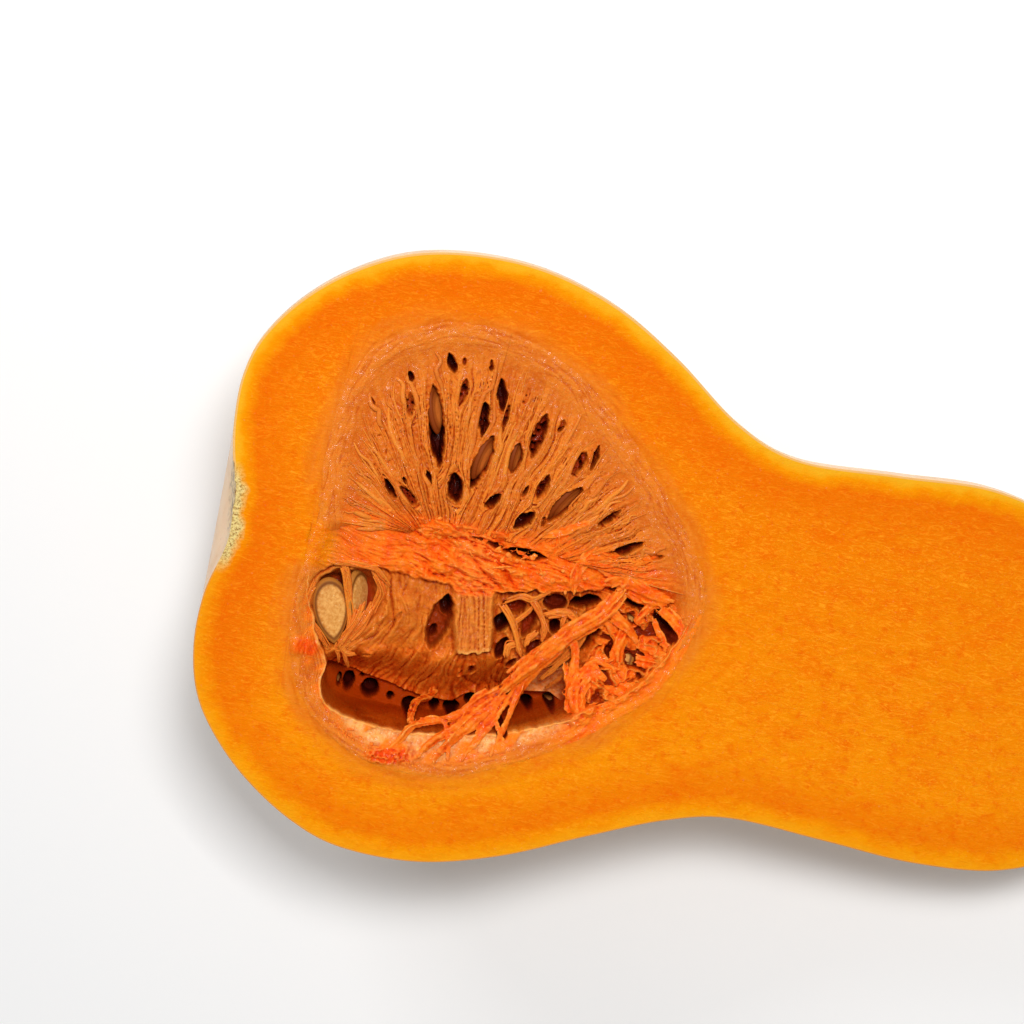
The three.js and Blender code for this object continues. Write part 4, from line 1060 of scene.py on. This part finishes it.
def hollows(mesh, rounds):
    """How far each point lies below the mean of those round it."""
    points = points_of(mesh)
    ends = np.empty(2 * len(mesh.edges), int)
    mesh.edges.foreach_get("vertices", ends)
    here, there = np.concatenate([ends.reshape(-1, 2), ends.reshape(-1, 2)[:, ::-1]]).T
    count = np.bincount(here, minlength=len(points))
    mean = points
    for _ in range(rounds):
        mean = np.column_stack([np.bincount(here, mean[there, k], len(points)) for k in range(3)])
        mean = mean / count[:, None]
    return np.einsum("ij,ij->i", mean - points, points_of(mesh, "normal"))


def fused(mesh, voxel, shake, seed, torn):
    """Fibres grown together: remeshed as one body and roughened."""
    name = mesh.name
    obj = new_object(name, mesh)
    remesh = obj.modifiers.new("fuse", "REMESH")
    remesh.mode = "VOXEL"
    remesh.voxel_size = voxel
    result = baked(obj)
    bpy.data.meshes.remove(mesh)
    result.name = name
    points = points_of(result)
    a, b, c = points.T
    grains = rough(a / 1.2 + c, b / 1.2 - c, seed, 3)
    set_points(result, points + shake * points_of(result, "normal") * grains[:, None])
    # Painted shade in hollows and on the lowest parts, and painted light on bumps.
    low = hollows(result, 10)
    set_value(result, "tone", 0.5 + 0.7 * rough(a / 1.8, b / 1.8, seed + 7, 3))
    set_value(result, "crevice", np.clip(3.2 * low + 0.4 * smooth(-3.0, -7.5, c), 0, 1))
    set_value(result, "crest", np.clip(-6 * low - 0.3, 0, 1))
    set_looks(result, torn)
    return result


def band_paths():
    """Torn crumbs and short fibres on the heap along the band."""
    random = np.random.default_rng(71)
    paths = []
    for i in range(BAND_PIECES):
        share = random.beta(1.6, 1.6)
        x, y = spline(BAND_RIDGE, np.array(share))
        x, y = x + random.normal(0, 1.2), y + random.normal(0, 2.2)
        w = float(torn_lumps(np.array(x), np.array(y))) - 3.4
        turn = random.normal(-0.1, 0.5) if i % 3 else random.uniform(-1.6, 1.6)
        long = random.gamma(2.0, 1.0) if i % 3 else random.uniform(0.5, 1.2)
        step = 0.5 * long * np.array([math.cos(turn), math.sin(turn), random.normal(0, 0.12)])
        middle = np.array([x, y, w])
        bend = random.normal(0, 0.2 * long, 3) * (1, 1, 0.4)
        width = random.uniform(0.25, 0.5) if i % 3 else random.uniform(0.8, 1.6)
        paths.append(fibre([middle - step, middle + bend, middle + step], width, width * 0.7, random,
                           9, 0.06))
    return paths


def rim_frays():
    """Short red-orange threads and beads along the pocket's rim."""
    random = np.random.default_rng(76)
    paths = []
    for i in range(RIM_FRAYS):
        heap = i % 2 == 0
        angle = math.radians(random.normal(247, 4) if heap else random.triangular(196, 232, 300))
        inset = abs(random.normal(0, 1.1)) - (0.4 if heap else 0.0)
        x, y = outline_at(LIP_MIDDLE, RIM_FROM_LIP_MIDDLE(angle) - inset, angle)
        turn = angle + math.pi / 2 + random.normal(0, 1.2 if heap else 0.4)
        long = random.uniform(0.6, 1.2) if heap else random.uniform(0.6, 2.6)
        step = 0.5 * long * np.array([math.cos(turn), math.sin(turn), 0])
        middle = np.array([x, y, -0.28 * max(inset, 0) - (0.35 if heap else 0.1)])
        width = random.uniform(0.7, 1.2) if heap else random.uniform(0.25, 0.5)
        bend = random.normal(0, 0.15 * long, 3) * (1, 1, 0.3)
        paths.append(fibre([middle - step, middle + bend, middle + step], width, width, random, 7, 0.05))
    return paths


def seed_shape(name, length, width, thick):
    """A seed's mesh: a flat drop, its point at -Y, with a raised rim round both faces."""
    sides, rows = SEED_GRID
    mesh, row, side = sphere_mesh(name, sides, rows)
    polar = row * math.pi / rows
    turn = side * 2 * math.pi / sides
    reach = np.sin(polar) ** 0.8
    swell = 1.12 * np.sin(turn) * np.abs(np.cos(turn / 2)) ** 0.45
    x = swell * width / 2 * reach
    y = length * (0.5 * np.cos(turn) * reach - 0.03)
    cushion = 0.62 + 0.26 * smooth(0.80, 0.88, reach) * smooth(1.0, 0.93, reach)
    cushion = cushion + 0.34 * smooth(0.86, 0.72, reach) + 0.14 * smooth(0.6, 0.0, reach)
    edge = np.sqrt(np.clip(1 - reach ** 6, 0, 1))
    z = np.sign(np.cos(polar)) * thick / 2 * cushion * edge
    z = z + 0.05 * rough(x / 1.1, y / 1.1, 81, 2) * edge
    set_points(mesh, np.column_stack([x, y, z]))
    set_value(mesh, "reach", reach)
    # Smaller seeds, which sit down in the fan's slots, are marked for a painted-shade copy of the coat.
    set_value(mesh, "deep", np.full(len(reach), float(length < 0.8 * SEED_SIZE[0])))
    return mesh


def placed_seed(node, middle, turn, lean, scale):
    """The mesh of one of the seeds, in its place."""
    mesh = seed_shape(node + "_coat", *(scale * size for size in SEED_SIZE))
    mesh.transform(Matrix.Translation(middle) @ Matrix.Rotation(turn, 4, "Z")
                   @ Matrix.Rotation(lean, 4, "Y"))
    return mesh


def stem_mesh():
    """The stem stub, ridged, waisted and cut flat with the fruit."""
    sides, rows = 120, 70
    mesh, row, side = sphere_mesh("stem_wood", sides, rows)
    share = row / rows
    angle = side * 2 * math.pi / sides
    waist = np.where(share < 0.6, mix(STEM["base"], STEM["neck"], smooth(0, 0.6, share)),
                     mix(STEM["neck"], STEM["tip"], smooth(0.6, 0.9, share)))
    ridge = 1 + 0.1 * np.cos(STEM["ridges"] * angle) + 0.02 * np.cos(23 * angle)
    ridge = ridge + 0.025 * rough(share * 9, angle * 4, 91, 3)
    radius = waist * ridge * np.minimum(1, 6 * np.sin(math.pi * share))
    u = mix(STEM["from"], STEM["to"], np.clip((share - 0.03) / 0.94, 0, 1))
    v = STEM["y"] + radius * np.cos(angle)
    w = np.minimum(radius * np.sin(angle), 0.02 * rough(u, v, 92))
    set_points(mesh, np.column_stack([u, v, w]))
    set_value(mesh, "cut", np.where(w > -0.3, 1.0, 0.0))
    return mesh


class Finish:
    """One material and short calls for its nodes."""

    def __init__(self, name, roughness, **sockets):
        self.material = bpy.data.materials.new(name)
        self.material.use_nodes = True
        self.tree = self.material.node_tree
        self.shader = self.tree.nodes["Principled BSDF"]
        self.shader.inputs["Roughness"].default_value = roughness
        for key, value in sockets.items():
            self.shader.inputs[key.replace("_", " ")].default_value = value
        coordinates = self.node("ShaderNodeTexCoord")
        mapping = self.node("ShaderNodeMapping", vector_type="TEXTURE")
        mapping.inputs["Location"].default_value = CUT_ORIGIN
        mapping.inputs["Rotation"].default_value = (0, CUT_TILT, 0)
        mapping.inputs["Scale"].default_value = (MM, MM, MM)
        self.link(coordinates.outputs["Object"], mapping.inputs["Vector"])
        self.place = mapping.outputs["Vector"]

    def node(self, kind, **settings):
        node = self.tree.nodes.new(kind)
        for key, value in settings.items():
            setattr(node, key, value)
        return node

    def link(self, source, target):
        self.tree.links.new(source, target)

    def value(self, name):
        """A value that the mesh carries."""
        return self.node("ShaderNodeAttribute", attribute_name=name).outputs["Fac"]

    def scaled(self, size, stretch=(1, 1, 1)):
        """The place in steps of so many millimetres, longer along the axes that are stretched."""
        scale = self.node("ShaderNodeMapping")
        scale.inputs["Scale"].default_value = [1 / (size * s) for s in stretch]
        self.link(self.place, scale.inputs["Vector"])
        return scale.outputs["Vector"]

    def noise(self, size, detail=3.0, roughness=0.55, stretch=(1, 1, 1), distortion=0.0):
        """Noise with bumps about size millimetres across, stretched along the cut's axes."""
        node = self.node("ShaderNodeTexNoise")
        node.inputs["Scale"].default_value = 1.0
        node.inputs["Detail"].default_value = detail
        node.inputs["Roughness"].default_value = roughness
        node.inputs["Distortion"].default_value = distortion
        self.link(self.scaled(size, stretch), node.inputs["Vector"])
        return node.outputs["Fac"]

    def cells(self, size):
        """Distance from the middle of cells about size millimetres across."""
        node = self.node("ShaderNodeTexVoronoi")
        node.inputs["Scale"].default_value = 1.0
        self.link(self.scaled(size), node.inputs["Vector"])
        return node.outputs["Distance"]

    def span(self, source, low, high, to_low=0.0, to_high=1.0):
        """A value's way from low to high, as a share or between two other numbers."""
        node = self.node("ShaderNodeMapRange", clamp=True)
        for key, value in (("From Min", low), ("From Max", high), ("To Min", to_low), ("To Max", to_high)):
            node.inputs[key].default_value = value
        self.link(source, node.inputs["Value"])
        return node.outputs["Result"]

    def feed(self, socket, value):
        """Gives a socket a number, an sRGB colour or what another socket puts out."""
        if isinstance(value, bpy.types.NodeSocket):
            self.link(value, socket)
        else:
            socket.default_value = linear(value) if isinstance(value, tuple) else value

    def math(self, operation, a, b):
        node = self.node("ShaderNodeMath", operation=operation)
        self.feed(node.inputs[0], a)
        self.feed(node.inputs[1], b)
        return node.outputs["Value"]

    def blend(self, base, colour, factor):
        """colour over base by a factor; each may be an sRGB colour or another blend."""
        node = self.node("ShaderNodeMix", data_type="RGBA")
        self.feed(node.inputs[0], factor)
        self.feed(node.inputs[6], base)
        self.feed(node.inputs[7], colour)
        return node.outputs[2]

    def layers(self, colour, *layers):
        """Colours over a colour, each (colour, value, value where it starts, where it is full, share)."""
        for over, source, low, high, share in layers:
            colour = self.blend(colour, over, self.span(source, low, high, 0, share))
        return colour

    def colour(self, source):
        self.link(source, self.shader.inputs["Base Color"])

    def bumps(self, *layers):
        """Bump layers, each (height, millimetres of relief)."""
        normal = None
        for height, relief in layers:
            node = self.node("ShaderNodeBump")
            node.inputs["Strength"].default_value = 1.0
            node.inputs["Distance"].default_value = relief * MM
            self.link(height, node.inputs["Height"])
            if normal is not None:
                self.link(normal, node.inputs["Normal"])
            normal = node.outputs["Normal"]
        self.link(normal, self.shader.inputs["Normal"])

    def rough(self, source):
        self.link(source, self.shader.inputs["Roughness"])

    def gap_from(self, point):
        """Distance from a point of the cut's frame."""
        away = self.node("ShaderNodeVectorMath", operation="DISTANCE")
        self.link(self.place, away.inputs[0])
        away.inputs[1].default_value = point
        return away.outputs["Value"]

    def across(self):
        """How far across the cut a point lies, in millimetres."""
        split = self.node("ShaderNodeSeparateXYZ")
        self.link(self.place, split.inputs["Vector"])
        return split.outputs["Y"]

    def wet(self, threshold, wet, dry, shine, dull=None):
        """Moist spots that glint on a duller ground, less so where dull says."""
        spot = self.noise(1.1, 4, 0.7)
        self.rough(self.span(spot, threshold - 0.08, threshold + 0.1, dry, wet))
        shine = self.span(spot, threshold, threshold + 0.12, shine, 0.6)
        if dull is not None:
            shine = self.math("MULTIPLY", shine, self.span(dull, 0, 1, 1, 0.15))
        self.link(shine, self.shader.inputs["Specular IOR Level"])


def chosen(name):
    """One of the colours that the user sets, as 0 to 255."""
    return tuple(255 * share for share in getattr(bpy.context.scene.squash_looks, name))


def linear(colour):
    """An sRGB colour, as 0 to 255, in the linear values that shaders take."""
    share = [c / 255 for c in colour]
    return [s / 12.92 if s <= 0.04045 else ((s + 0.055) / 1.055) ** 2.4 for s in share] + [1.0]


def flesh_colour(f):
    """Orange flesh with a mottled grain, painted lighter towards the bottom and darker towards the blossom
    end as light and shade, and the noises of its grain and flecks.
    """
    grain = f.noise(1.5, 5, 0.7, (2.0, 1, 1), 1.2)
    fleck = f.noise(1.3, 5, 0.65, (3.2, 1, 1), 3.5)
    colour = f.layers(
        chosen("flesh"),
        # Painted light and shade: lighter towards the bottom of the cut, darker near the blossom end.
        ((240, 138, 2), f.across(), 45, -35, 1),
        ((226, 100, 0), f.gap_from((-52, -14, 0)), 36, 12, 0.8),
        ((234, 104, 0), f.noise(6, 4, 0.65, (1.6, 1, 1)), 0.46, 0.66, 0.55),
        ((230, 94, 0), f.noise(2.4, 3, 0.6), 0.52, 0.70, 0.6),
        ((216, 84, 0), grain, 0.57, 0.72, 0.4),
        ((248, 152, 14), grain, 0.44, 0.30, 0.5),
        ((255, 162, 30), fleck, 0.50, 0.70, 0.75),
        ((250, 160, 40), f.noise(0.4, 2, 0.5), 0.60, 0.74, 0.4))
    return colour, grain, fleck


def salmon_colour(f, grain):
    """Pulp where it is whole: salmon, darker or lighter from fibre to fibre."""
    return f.layers(
        chosen("pulp"),
        ((198, 82, 8), f.value("tone"), 0.15, 0.95, 1),
        ((236, 146, 60), grain, 0.52, 0.75, 0.6))


def flesh_finish():
    """Moist orange flesh, amber under the rind and salmon round the cavity."""
    f = Finish("moist_flesh", 0.42, Subsurface_Weight=0.06, Subsurface_Scale=0.002)
    f.shader.inputs["Subsurface Radius"].default_value = (1.0, 0.3, 0.05)
    colour, grain, fleck = flesh_colour(f)
    skin = f.value("from_skin")
    upper = f.span(f.across(), -12, 12)
    wavering = f.math("ADD", skin, f.span(f.noise(5, 3), 0.3, 0.7, -0.8, 0.8))
    deep = f.math("MULTIPLY", f.span(wavering, 2.5, 4.5), f.span(wavering, 14, 7))
    colour = f.blend(colour, (228, 98, 0), f.math("MULTIPLY", deep, 0.45))
    amber = f.math("MULTIPLY", f.span(wavering, 5.0, 0.8), f.math("ADD", f.math("MULTIPLY", upper, 0.5), 0.5))
    colour = f.blend(colour, (240, 156, 0), amber)
    pale = f.math("MULTIPLY", f.span(wavering, 2.4, 0.8), f.math("ADD", f.math("MULTIPLY", upper, 0.55), 0.2))
    colour = f.blend(colour, (236, 172, 34), pale)
    # The peel's line: paler tan at the top, darker and more orange at the bottom as painted shade.
    peel_shaded_below = f.blend((224, 148, 60), (232, 180, 110), upper)
    width = f.math("ADD", f.math("MULTIPLY", upper, 0.15), 0.35)
    colour = f.blend(colour, peel_shaded_below, f.span(f.math("DIVIDE", skin, width), 1.0, 0.75, 0, 0.95))
    crust = f.blend((232, 206, 134), (150, 108, 50), f.span(f.noise(0.6, 4, 0.75), 0.45, 0.62))
    scar = f.math("MULTIPLY", f.span(wavering, 2.6, 1.2), f.span(f.gap_from((-43, 0, 0)), 12, 8))
    colour = f.blend(colour, crust, scar)
    colour = f.blend(colour, salmon_colour(f, f.noise(1.0, 4, 0.7)), f.value("salmon"))
    wall = f.blend((206, 100, 36), (226, 140, 70), f.span(f.noise(4, 3), 0.35, 0.65))
    colour = f.blend(colour, wall, f.span(f.value("from_rim"), -0.05, -0.5))
    f.colour(colour)
    f.bumps((grain, 0.16), (fleck, 0.10), (f.noise(0.25, 2), 0.04))
    f.wet(0.64, 0.38, 0.6, 0.02)
    return f.material


def rind_finish():
    """Smooth waxy cream-tan rind with faint mottling, and cork at the blossom end."""
    f = Finish("waxy_rind", 0.42, Specular_IOR_Level=0.3, Subsurface_Weight=0.08,
               Subsurface_Scale=0.002)
    broad = f.noise(34, 3, 0.5)
    fine = f.noise(5, 5, 0.65, (1.8, 1, 1))
    speck = f.cells(2.6)
    colour = f.layers(
        chosen("rind"),
        ((248, 212, 172), broad, 0.35, 0.62, 1),
        ((218, 162, 108), fine, 0.50, 0.74, 0.45),
        ((196, 140, 88), speck, 0.16, 0.05, 0.35))
    gap = f.math("ADD", f.gap_from(BLOSSOM), f.span(f.noise(4, 4), 0, 1, -5, 5))
    cork = f.blend((232, 200, 140), (140, 100, 54), f.span(f.noise(1.3, 4), 0.46, 0.62))
    colour = f.blend(colour, cork, f.span(gap, 14, 9))
    f.colour(colour)
    f.bumps((fine, 0.12), (f.noise(1.1, 3), 0.05))
    f.rough(f.span(f.noise(7, 3), 0.3, 0.7, 0.34, 0.5))
    return f.material


def pulp_finish():
    """Wet fibres: salmon or torn orange, peach on the wall, with painted shade that makes crevices redder and
    darker and holes dark, and painted highlights on ridges and pale marks.
    """
    f = Finish("wet_pulp", 0.4, Subsurface_Weight=0.12, Subsurface_Scale=0.0012)
    f.shader.inputs["Subsurface Radius"].default_value = (1.0, 0.3, 0.08)
    flesh, *_ = flesh_colour(f)
    streak = f.noise(0.7, 4, 0.7)
    fleck = f.noise(0.32, 2, 0.6)
    colour = salmon_colour(f, f.noise(1.0, 4, 0.7))
    torn = f.layers(
        chosen("torn"),
        ((244, 78, 0), f.value("tone"), 0.2, 0.95, 1),
        ((255, 152, 50), streak, 0.56, 0.74, 0.5))
    colour = f.blend(colour, torn, f.value("torn"))
    wall = f.blend((244, 150, 66), (255, 206, 140), f.span(streak, 0.40, 0.62))
    colour = f.blend(colour, wall, f.value("bare"))
    shade = f.blend((156, 48, 0), (190, 74, 4), f.span(f.noise(5, 3), 0.35, 0.65))
    colour = f.blend(colour, shade, f.value("shade"))
    # Painted light on ridges, and pale marks that are mostly painted highlights.
    colour = f.blend(colour, (254, 168, 70), f.math("MULTIPLY", f.value("crest"), 0.5))
    colour = f.blend(colour, (254, 184, 96), f.math("MULTIPLY", f.value("pale"), 0.8))
    crevice, hole = f.value("crevice"), f.value("hole")
    # Redder and darker in grooves, and dark in pits and slots: painted shade, the redder tint partly the
    # pulp's own.
    low = f.blend((178, 60, 4), (214, 58, 0), f.value("torn"))
    colour = f.layers(
        colour,
        # Pale flecks: partly the pulp's own grain, partly painted glints on its beads.
        ((254, 180, 90), fleck, 0.60, 0.74, 0.4),
        ((180, 62, 4), fleck, 0.38, 0.26, 0.4),
        (low, crevice, 0.05, 0.5, 0.85),
        ((118, 22, 0), crevice, 0.45, 1.0, 0.9))
    colour = f.layers(
        f.blend(flesh, colour, f.value("salmon")),
        ((150, 42, 6), hole, 0.1, 0.5, 1),
        ((70, 12, 5), hole, 0.5, 1.0, 1))
    f.colour(colour)
    f.bumps((streak, 0.16), (fleck, 0.14))
    f.wet(0.52, 0.16, 0.5, 0.06, f.value("shade"))
    return f.material


def seed_finish():
    """Tan seed coat, matt in the middle with an olive rim, painted glints, and painted shade on the seeds in
    the slots.
    """
    f = Finish("seed_coat", 0.6, Specular_IOR_Level=0.15)
    reach = f.value("reach")
    speck = f.noise(0.7, 4, 0.6)
    colour = f.layers(
        chosen("seed"),
        ((204, 132, 54), speck, 0.35, 0.65, 1),
        # Painted glints.
        ((255, 222, 160), f.noise(0.45, 2), 0.64, 0.74, 0.5),
        ((126, 66, 12), reach, 0.75, 0.82, 0.95),
        ((198, 128, 48), reach, 0.87, 0.93, 0.9))
    # Seeds down in the slots: a darker copy of the coat, darkest towards the edge, as painted shade.
    dark = f.blend((216, 124, 46), (140, 62, 14), f.span(reach, 0.45, 0.80))
    colour = f.blend(colour, dark, f.value("deep"))
    f.colour(colour)
    f.bumps((speck, 0.08))
    return f.material


def stem_finish():
    """Dry, corky, ridged wood with a paler cut."""
    f = Finish("dry_stem", 0.85)
    grain = f.noise(0.8, 4, 0.65, (7, 1, 1))
    colour = f.blend(chosen("stem"), (104, 82, 48), f.span(grain, 0.4, 0.65))
    colour = f.blend(colour, (206, 196, 140), f.value("cut"))
    f.colour(colour)
    f.bumps((grain, 0.3), (f.noise(0.5, 3), 0.1))
    return f.material


def floor_finish():
    """Plain pale ground."""
    f = Finish("pale_floor", 0.6)
    tint = f.noise(400, 2)
    f.colour(f.blend((250, 250, 250), (246, 246, 246), f.span(tint, 0.4, 0.6)))
    return f.material


def colour_property(name, description, colour):
    """A colour for the user to set, from 0 to 255 here."""
    return bpy.props.FloatVectorProperty(
        name=name, description=description, size=3, min=0, max=1, subtype="COLOR_GAMMA",
        default=[share / 255 for share in colour])


class SquashLooks(bpy.types.PropertyGroup):
    flesh: colour_property("Flesh", "Ground colour of the cut flesh", (230, 112, 0))
    rind: colour_property("Rind", "Ground colour of the rind", (236, 192, 146))
    pulp: colour_property("Pulp", "Ground colour of the whole pulp", (226, 120, 30))
    torn: colour_property("Torn pulp", "Ground colour of the pulp's torn fibres", (252, 122, 18))
    seed: colour_property("Seeds", "Ground colour of the seed coats", (234, 172, 92))
    stem: colour_property("Stem", "Ground colour of the stem's bark", (168, 138, 88))


class SquashStage(bpy.types.PropertyGroup):
    lens: bpy.props.FloatProperty(
        name="Lens", description="Focal length of the camera on a 36 mm sensor", default=110.0,
        unit="CAMERA")
    key: bpy.props.FloatProperty(
        name="Key light", description="Power of the soft light above the cut", default=4.85,
        unit="POWER")
    sky: bpy.props.FloatProperty(
        name="Fill", description="Strength of the even light from all round", default=0.36,
        subtype="FACTOR")


class SQUASH_OT_flesh(bpy.types.Operator):
    """Builds the flesh with its rind, cut face and cavity"""
    bl_idname = "squash.flesh"
    bl_label = "Flesh and rind"

    def execute(self, context):
        mesh, flat = flesh_mesh()
        obj = new_object("squash_flesh", mesh)
        finish(obj, [rind_finish(), flesh_finish()], ["squash_half"])
        obj.data.polygons.foreach_set("material_index", flat.astype(int))
        return {"FINISHED"}


class SQUASH_OT_pulp(bpy.types.Operator):
    """Builds the fan of fibres, the curtain and the torn band"""
    bl_idname = "squash.pulp"
    bl_label = "Pulp"

    def execute(self, context):
        random = np.random.default_rng(60)
        look = pulp_finish()
        meshes = [
            *fan_meshes(), curtain_mesh(), lining_mesh(),
            tubes_mesh("pulp_fan_fibres", fan_fibres(), 0.1),
            fused(tubes_mesh("pulp_band", band_paths()), 0.22, 0.25, 72, 0.95),
            fused(tubes_mesh("pulp_bundle", ropes(BUNDLE + STRANDS, random)), 0.2, 0.3, 73, 0.8),
            fused(tubes_mesh("pulp_tangle", ropes(TANGLE, random)), 0.2, 0.26, 74, 1.0),
            tubes_mesh("pulp_hollow_strands", ropes(HOLLOW_STRANDS + NET, random), 0.45),
            tubes_mesh("pulp_frays", rim_frays(), 0.9)]
        for mesh in meshes:
            finish(new_object(mesh.name, mesh), [look], ["pulp"])
        return {"FINISHED"}


class SQUASH_OT_seeds(bpy.types.Operator):
    """Builds the seeds"""
    bl_idname = "squash.seeds"
    bl_label = "Seeds"

    def execute(self, context):
        look = seed_finish()
        for seed in SEEDS:
            mesh = placed_seed(*seed)
            finish(new_object(mesh.name, mesh), [look], [seed[0]])
        return {"FINISHED"}


class SQUASH_OT_stem(bpy.types.Operator):
    """Builds the woody stem stub"""
    bl_idname = "squash.stem"
    bl_label = "Stem stub"

    def execute(self, context):
        mesh = stem_mesh()
        finish(new_object(mesh.name, mesh), [stem_finish()], ["stem_stub"])
        return {"FINISHED"}


def view_axes():
    """The picture's right, up and toward-viewer directions in the row frame, and its distance."""
    turn = Matrix.Rotation(-LENGTH_RUNS_DOWN, 3, "Z")
    cut_to_row = Matrix((ALONG_CUT, ACROSS_CUT, OUT_OF_CUT)).transposed()
    picture_right = cut_to_row @ turn.transposed() @ Vector((1, 0, 0))
    picture_up = cut_to_row @ turn.transposed() @ Vector((0, 1, 0))
    toward = (OUT_OF_CUT + math.tan(SEEN_FROM_ABOVE) * picture_up
              - math.tan(SEEN_FROM_LEFT) * picture_right).normalized()
    right = picture_up.cross(toward).normalized()
    return right, toward.cross(right), toward


def set_camera(scene, lens, right, up, toward):
    """Puts the camera where the cut's origin shows at its place and scale in the picture."""
    pixels = PICTURE * lens / SENSOR
    off = [(ORIGIN_SHOWS_AT[0] - PICTURE / 2) / pixels, (PICTURE / 2 - ORIGIN_SHOWS_AT[1]) / pixels]
    distance = pixels / PIXELS_PER_MM * MM
    camera = bpy.data.cameras.new("camera")
    camera.lens = lens
    camera.sensor_width = SENSOR
    camera.clip_start, camera.clip_end = NEAREST_SHOWN, FARTHEST_SHOWN
    place = CUT_ORIGIN - distance * (off[0] * right + off[1] * up - toward)
    scene.camera = new_object("camera", camera)
    scene.camera.matrix_world = Matrix.Translation(place) @ Matrix((right, up, toward)).transposed().to_4x4()


def set_light(name, power, size, place):
    """Adds a square light that faces the cut's origin."""
    data = bpy.data.lights.new(name, "AREA")
    data.energy = power
    data.size = size
    light = new_object(name, data)
    light.location = place
    light.rotation_euler = (CUT_ORIGIN - place).to_track_quat("-Z", "Y").to_euler()


def set_room(scene, strength):
    """Even white light from all round."""
    scene.world = bpy.data.worlds.new("room")
    scene.world.use_nodes = True
    background = scene.world.node_tree.nodes["Background"]
    background.inputs["Color"].default_value = (1, 1, 1, 1)
    background.inputs["Strength"].default_value = strength


def set_floor():
    """Adds the ground under the squash."""
    bm = bmesh.new()
    bmesh.ops.create_grid(bm, x_segments=8, y_segments=8, size=FLOOR_REACH)
    bmesh.ops.translate(bm, verts=bm.verts, vec=(0, 0, -FLOOR_BELOW))
    mesh = mesh_from(bm, "floor")
    mesh.materials.append(floor_finish())
    new_object("floor", mesh)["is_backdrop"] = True


class SQUASH_OT_stage(bpy.types.Operator):
    """Sets up the camera, the lights and the floor"""
    bl_idname = "squash.stage"
    bl_label = "Stage"

    def execute(self, context):
        scene = context.scene
        stage = scene.squash_stage
        right, up, toward = view_axes()
        scene.view_settings.view_transform = "Standard"
        set_camera(scene, stage.lens, right, up, toward)
        set_room(scene, stage.sky)
        for name, share, size, (x, y, z) in LIGHTS:
            set_light(name, share * stage.key, size, CUT_ORIGIN + x * right + y * up + z * toward)
        set_floor()
        return {"FINISHED"}


class SQUASH_PT_panel(bpy.types.Panel):
    """Shows the squash's settings and its pieces"""
    bl_label = "Butternut squash"
    bl_space_type = "VIEW_3D"
    bl_region_type = "UI"
    bl_category = "Squash"

    def draw(self, context):
        scene = context.scene
        for name in ("lens", "key", "sky"):
            self.layout.prop(scene.squash_stage, name)
        for name in ("flesh", "rind", "pulp", "torn", "seed", "stem"):
            self.layout.prop(scene.squash_looks, name)
        for operator in PIECES:
            self.layout.operator(operator.bl_idname)


PIECES = (SQUASH_OT_stage, SQUASH_OT_flesh, SQUASH_OT_pulp, SQUASH_OT_seeds, SQUASH_OT_stem)
CLASSES = (SquashLooks, SquashStage, *PIECES, SQUASH_PT_panel)


def register():
    for cls in CLASSES:
        bpy.utils.register_class(cls)
    bpy.types.Scene.squash_looks = bpy.props.PointerProperty(type=SquashLooks)
    bpy.types.Scene.squash_stage = bpy.props.PointerProperty(type=SquashStage)


def unregister():
    del bpy.types.Scene.squash_stage
    del bpy.types.Scene.squash_looks
    for cls in reversed(CLASSES):
        bpy.utils.unregister_class(cls)


def main():
    register()
    bpy.ops.squash.stage()
    bpy.ops.squash.flesh()
    bpy.ops.squash.pulp()
    bpy.ops.squash.seeds()
    bpy.ops.squash.stem()
    bpy.context.view_layer.update()
    boxes = {"cad": CAD_BOX, "visual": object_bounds()}
    {key: [list(corner) for corner in box] for key, box in boxes.items()}


if __name__ == "__main__":
    main()
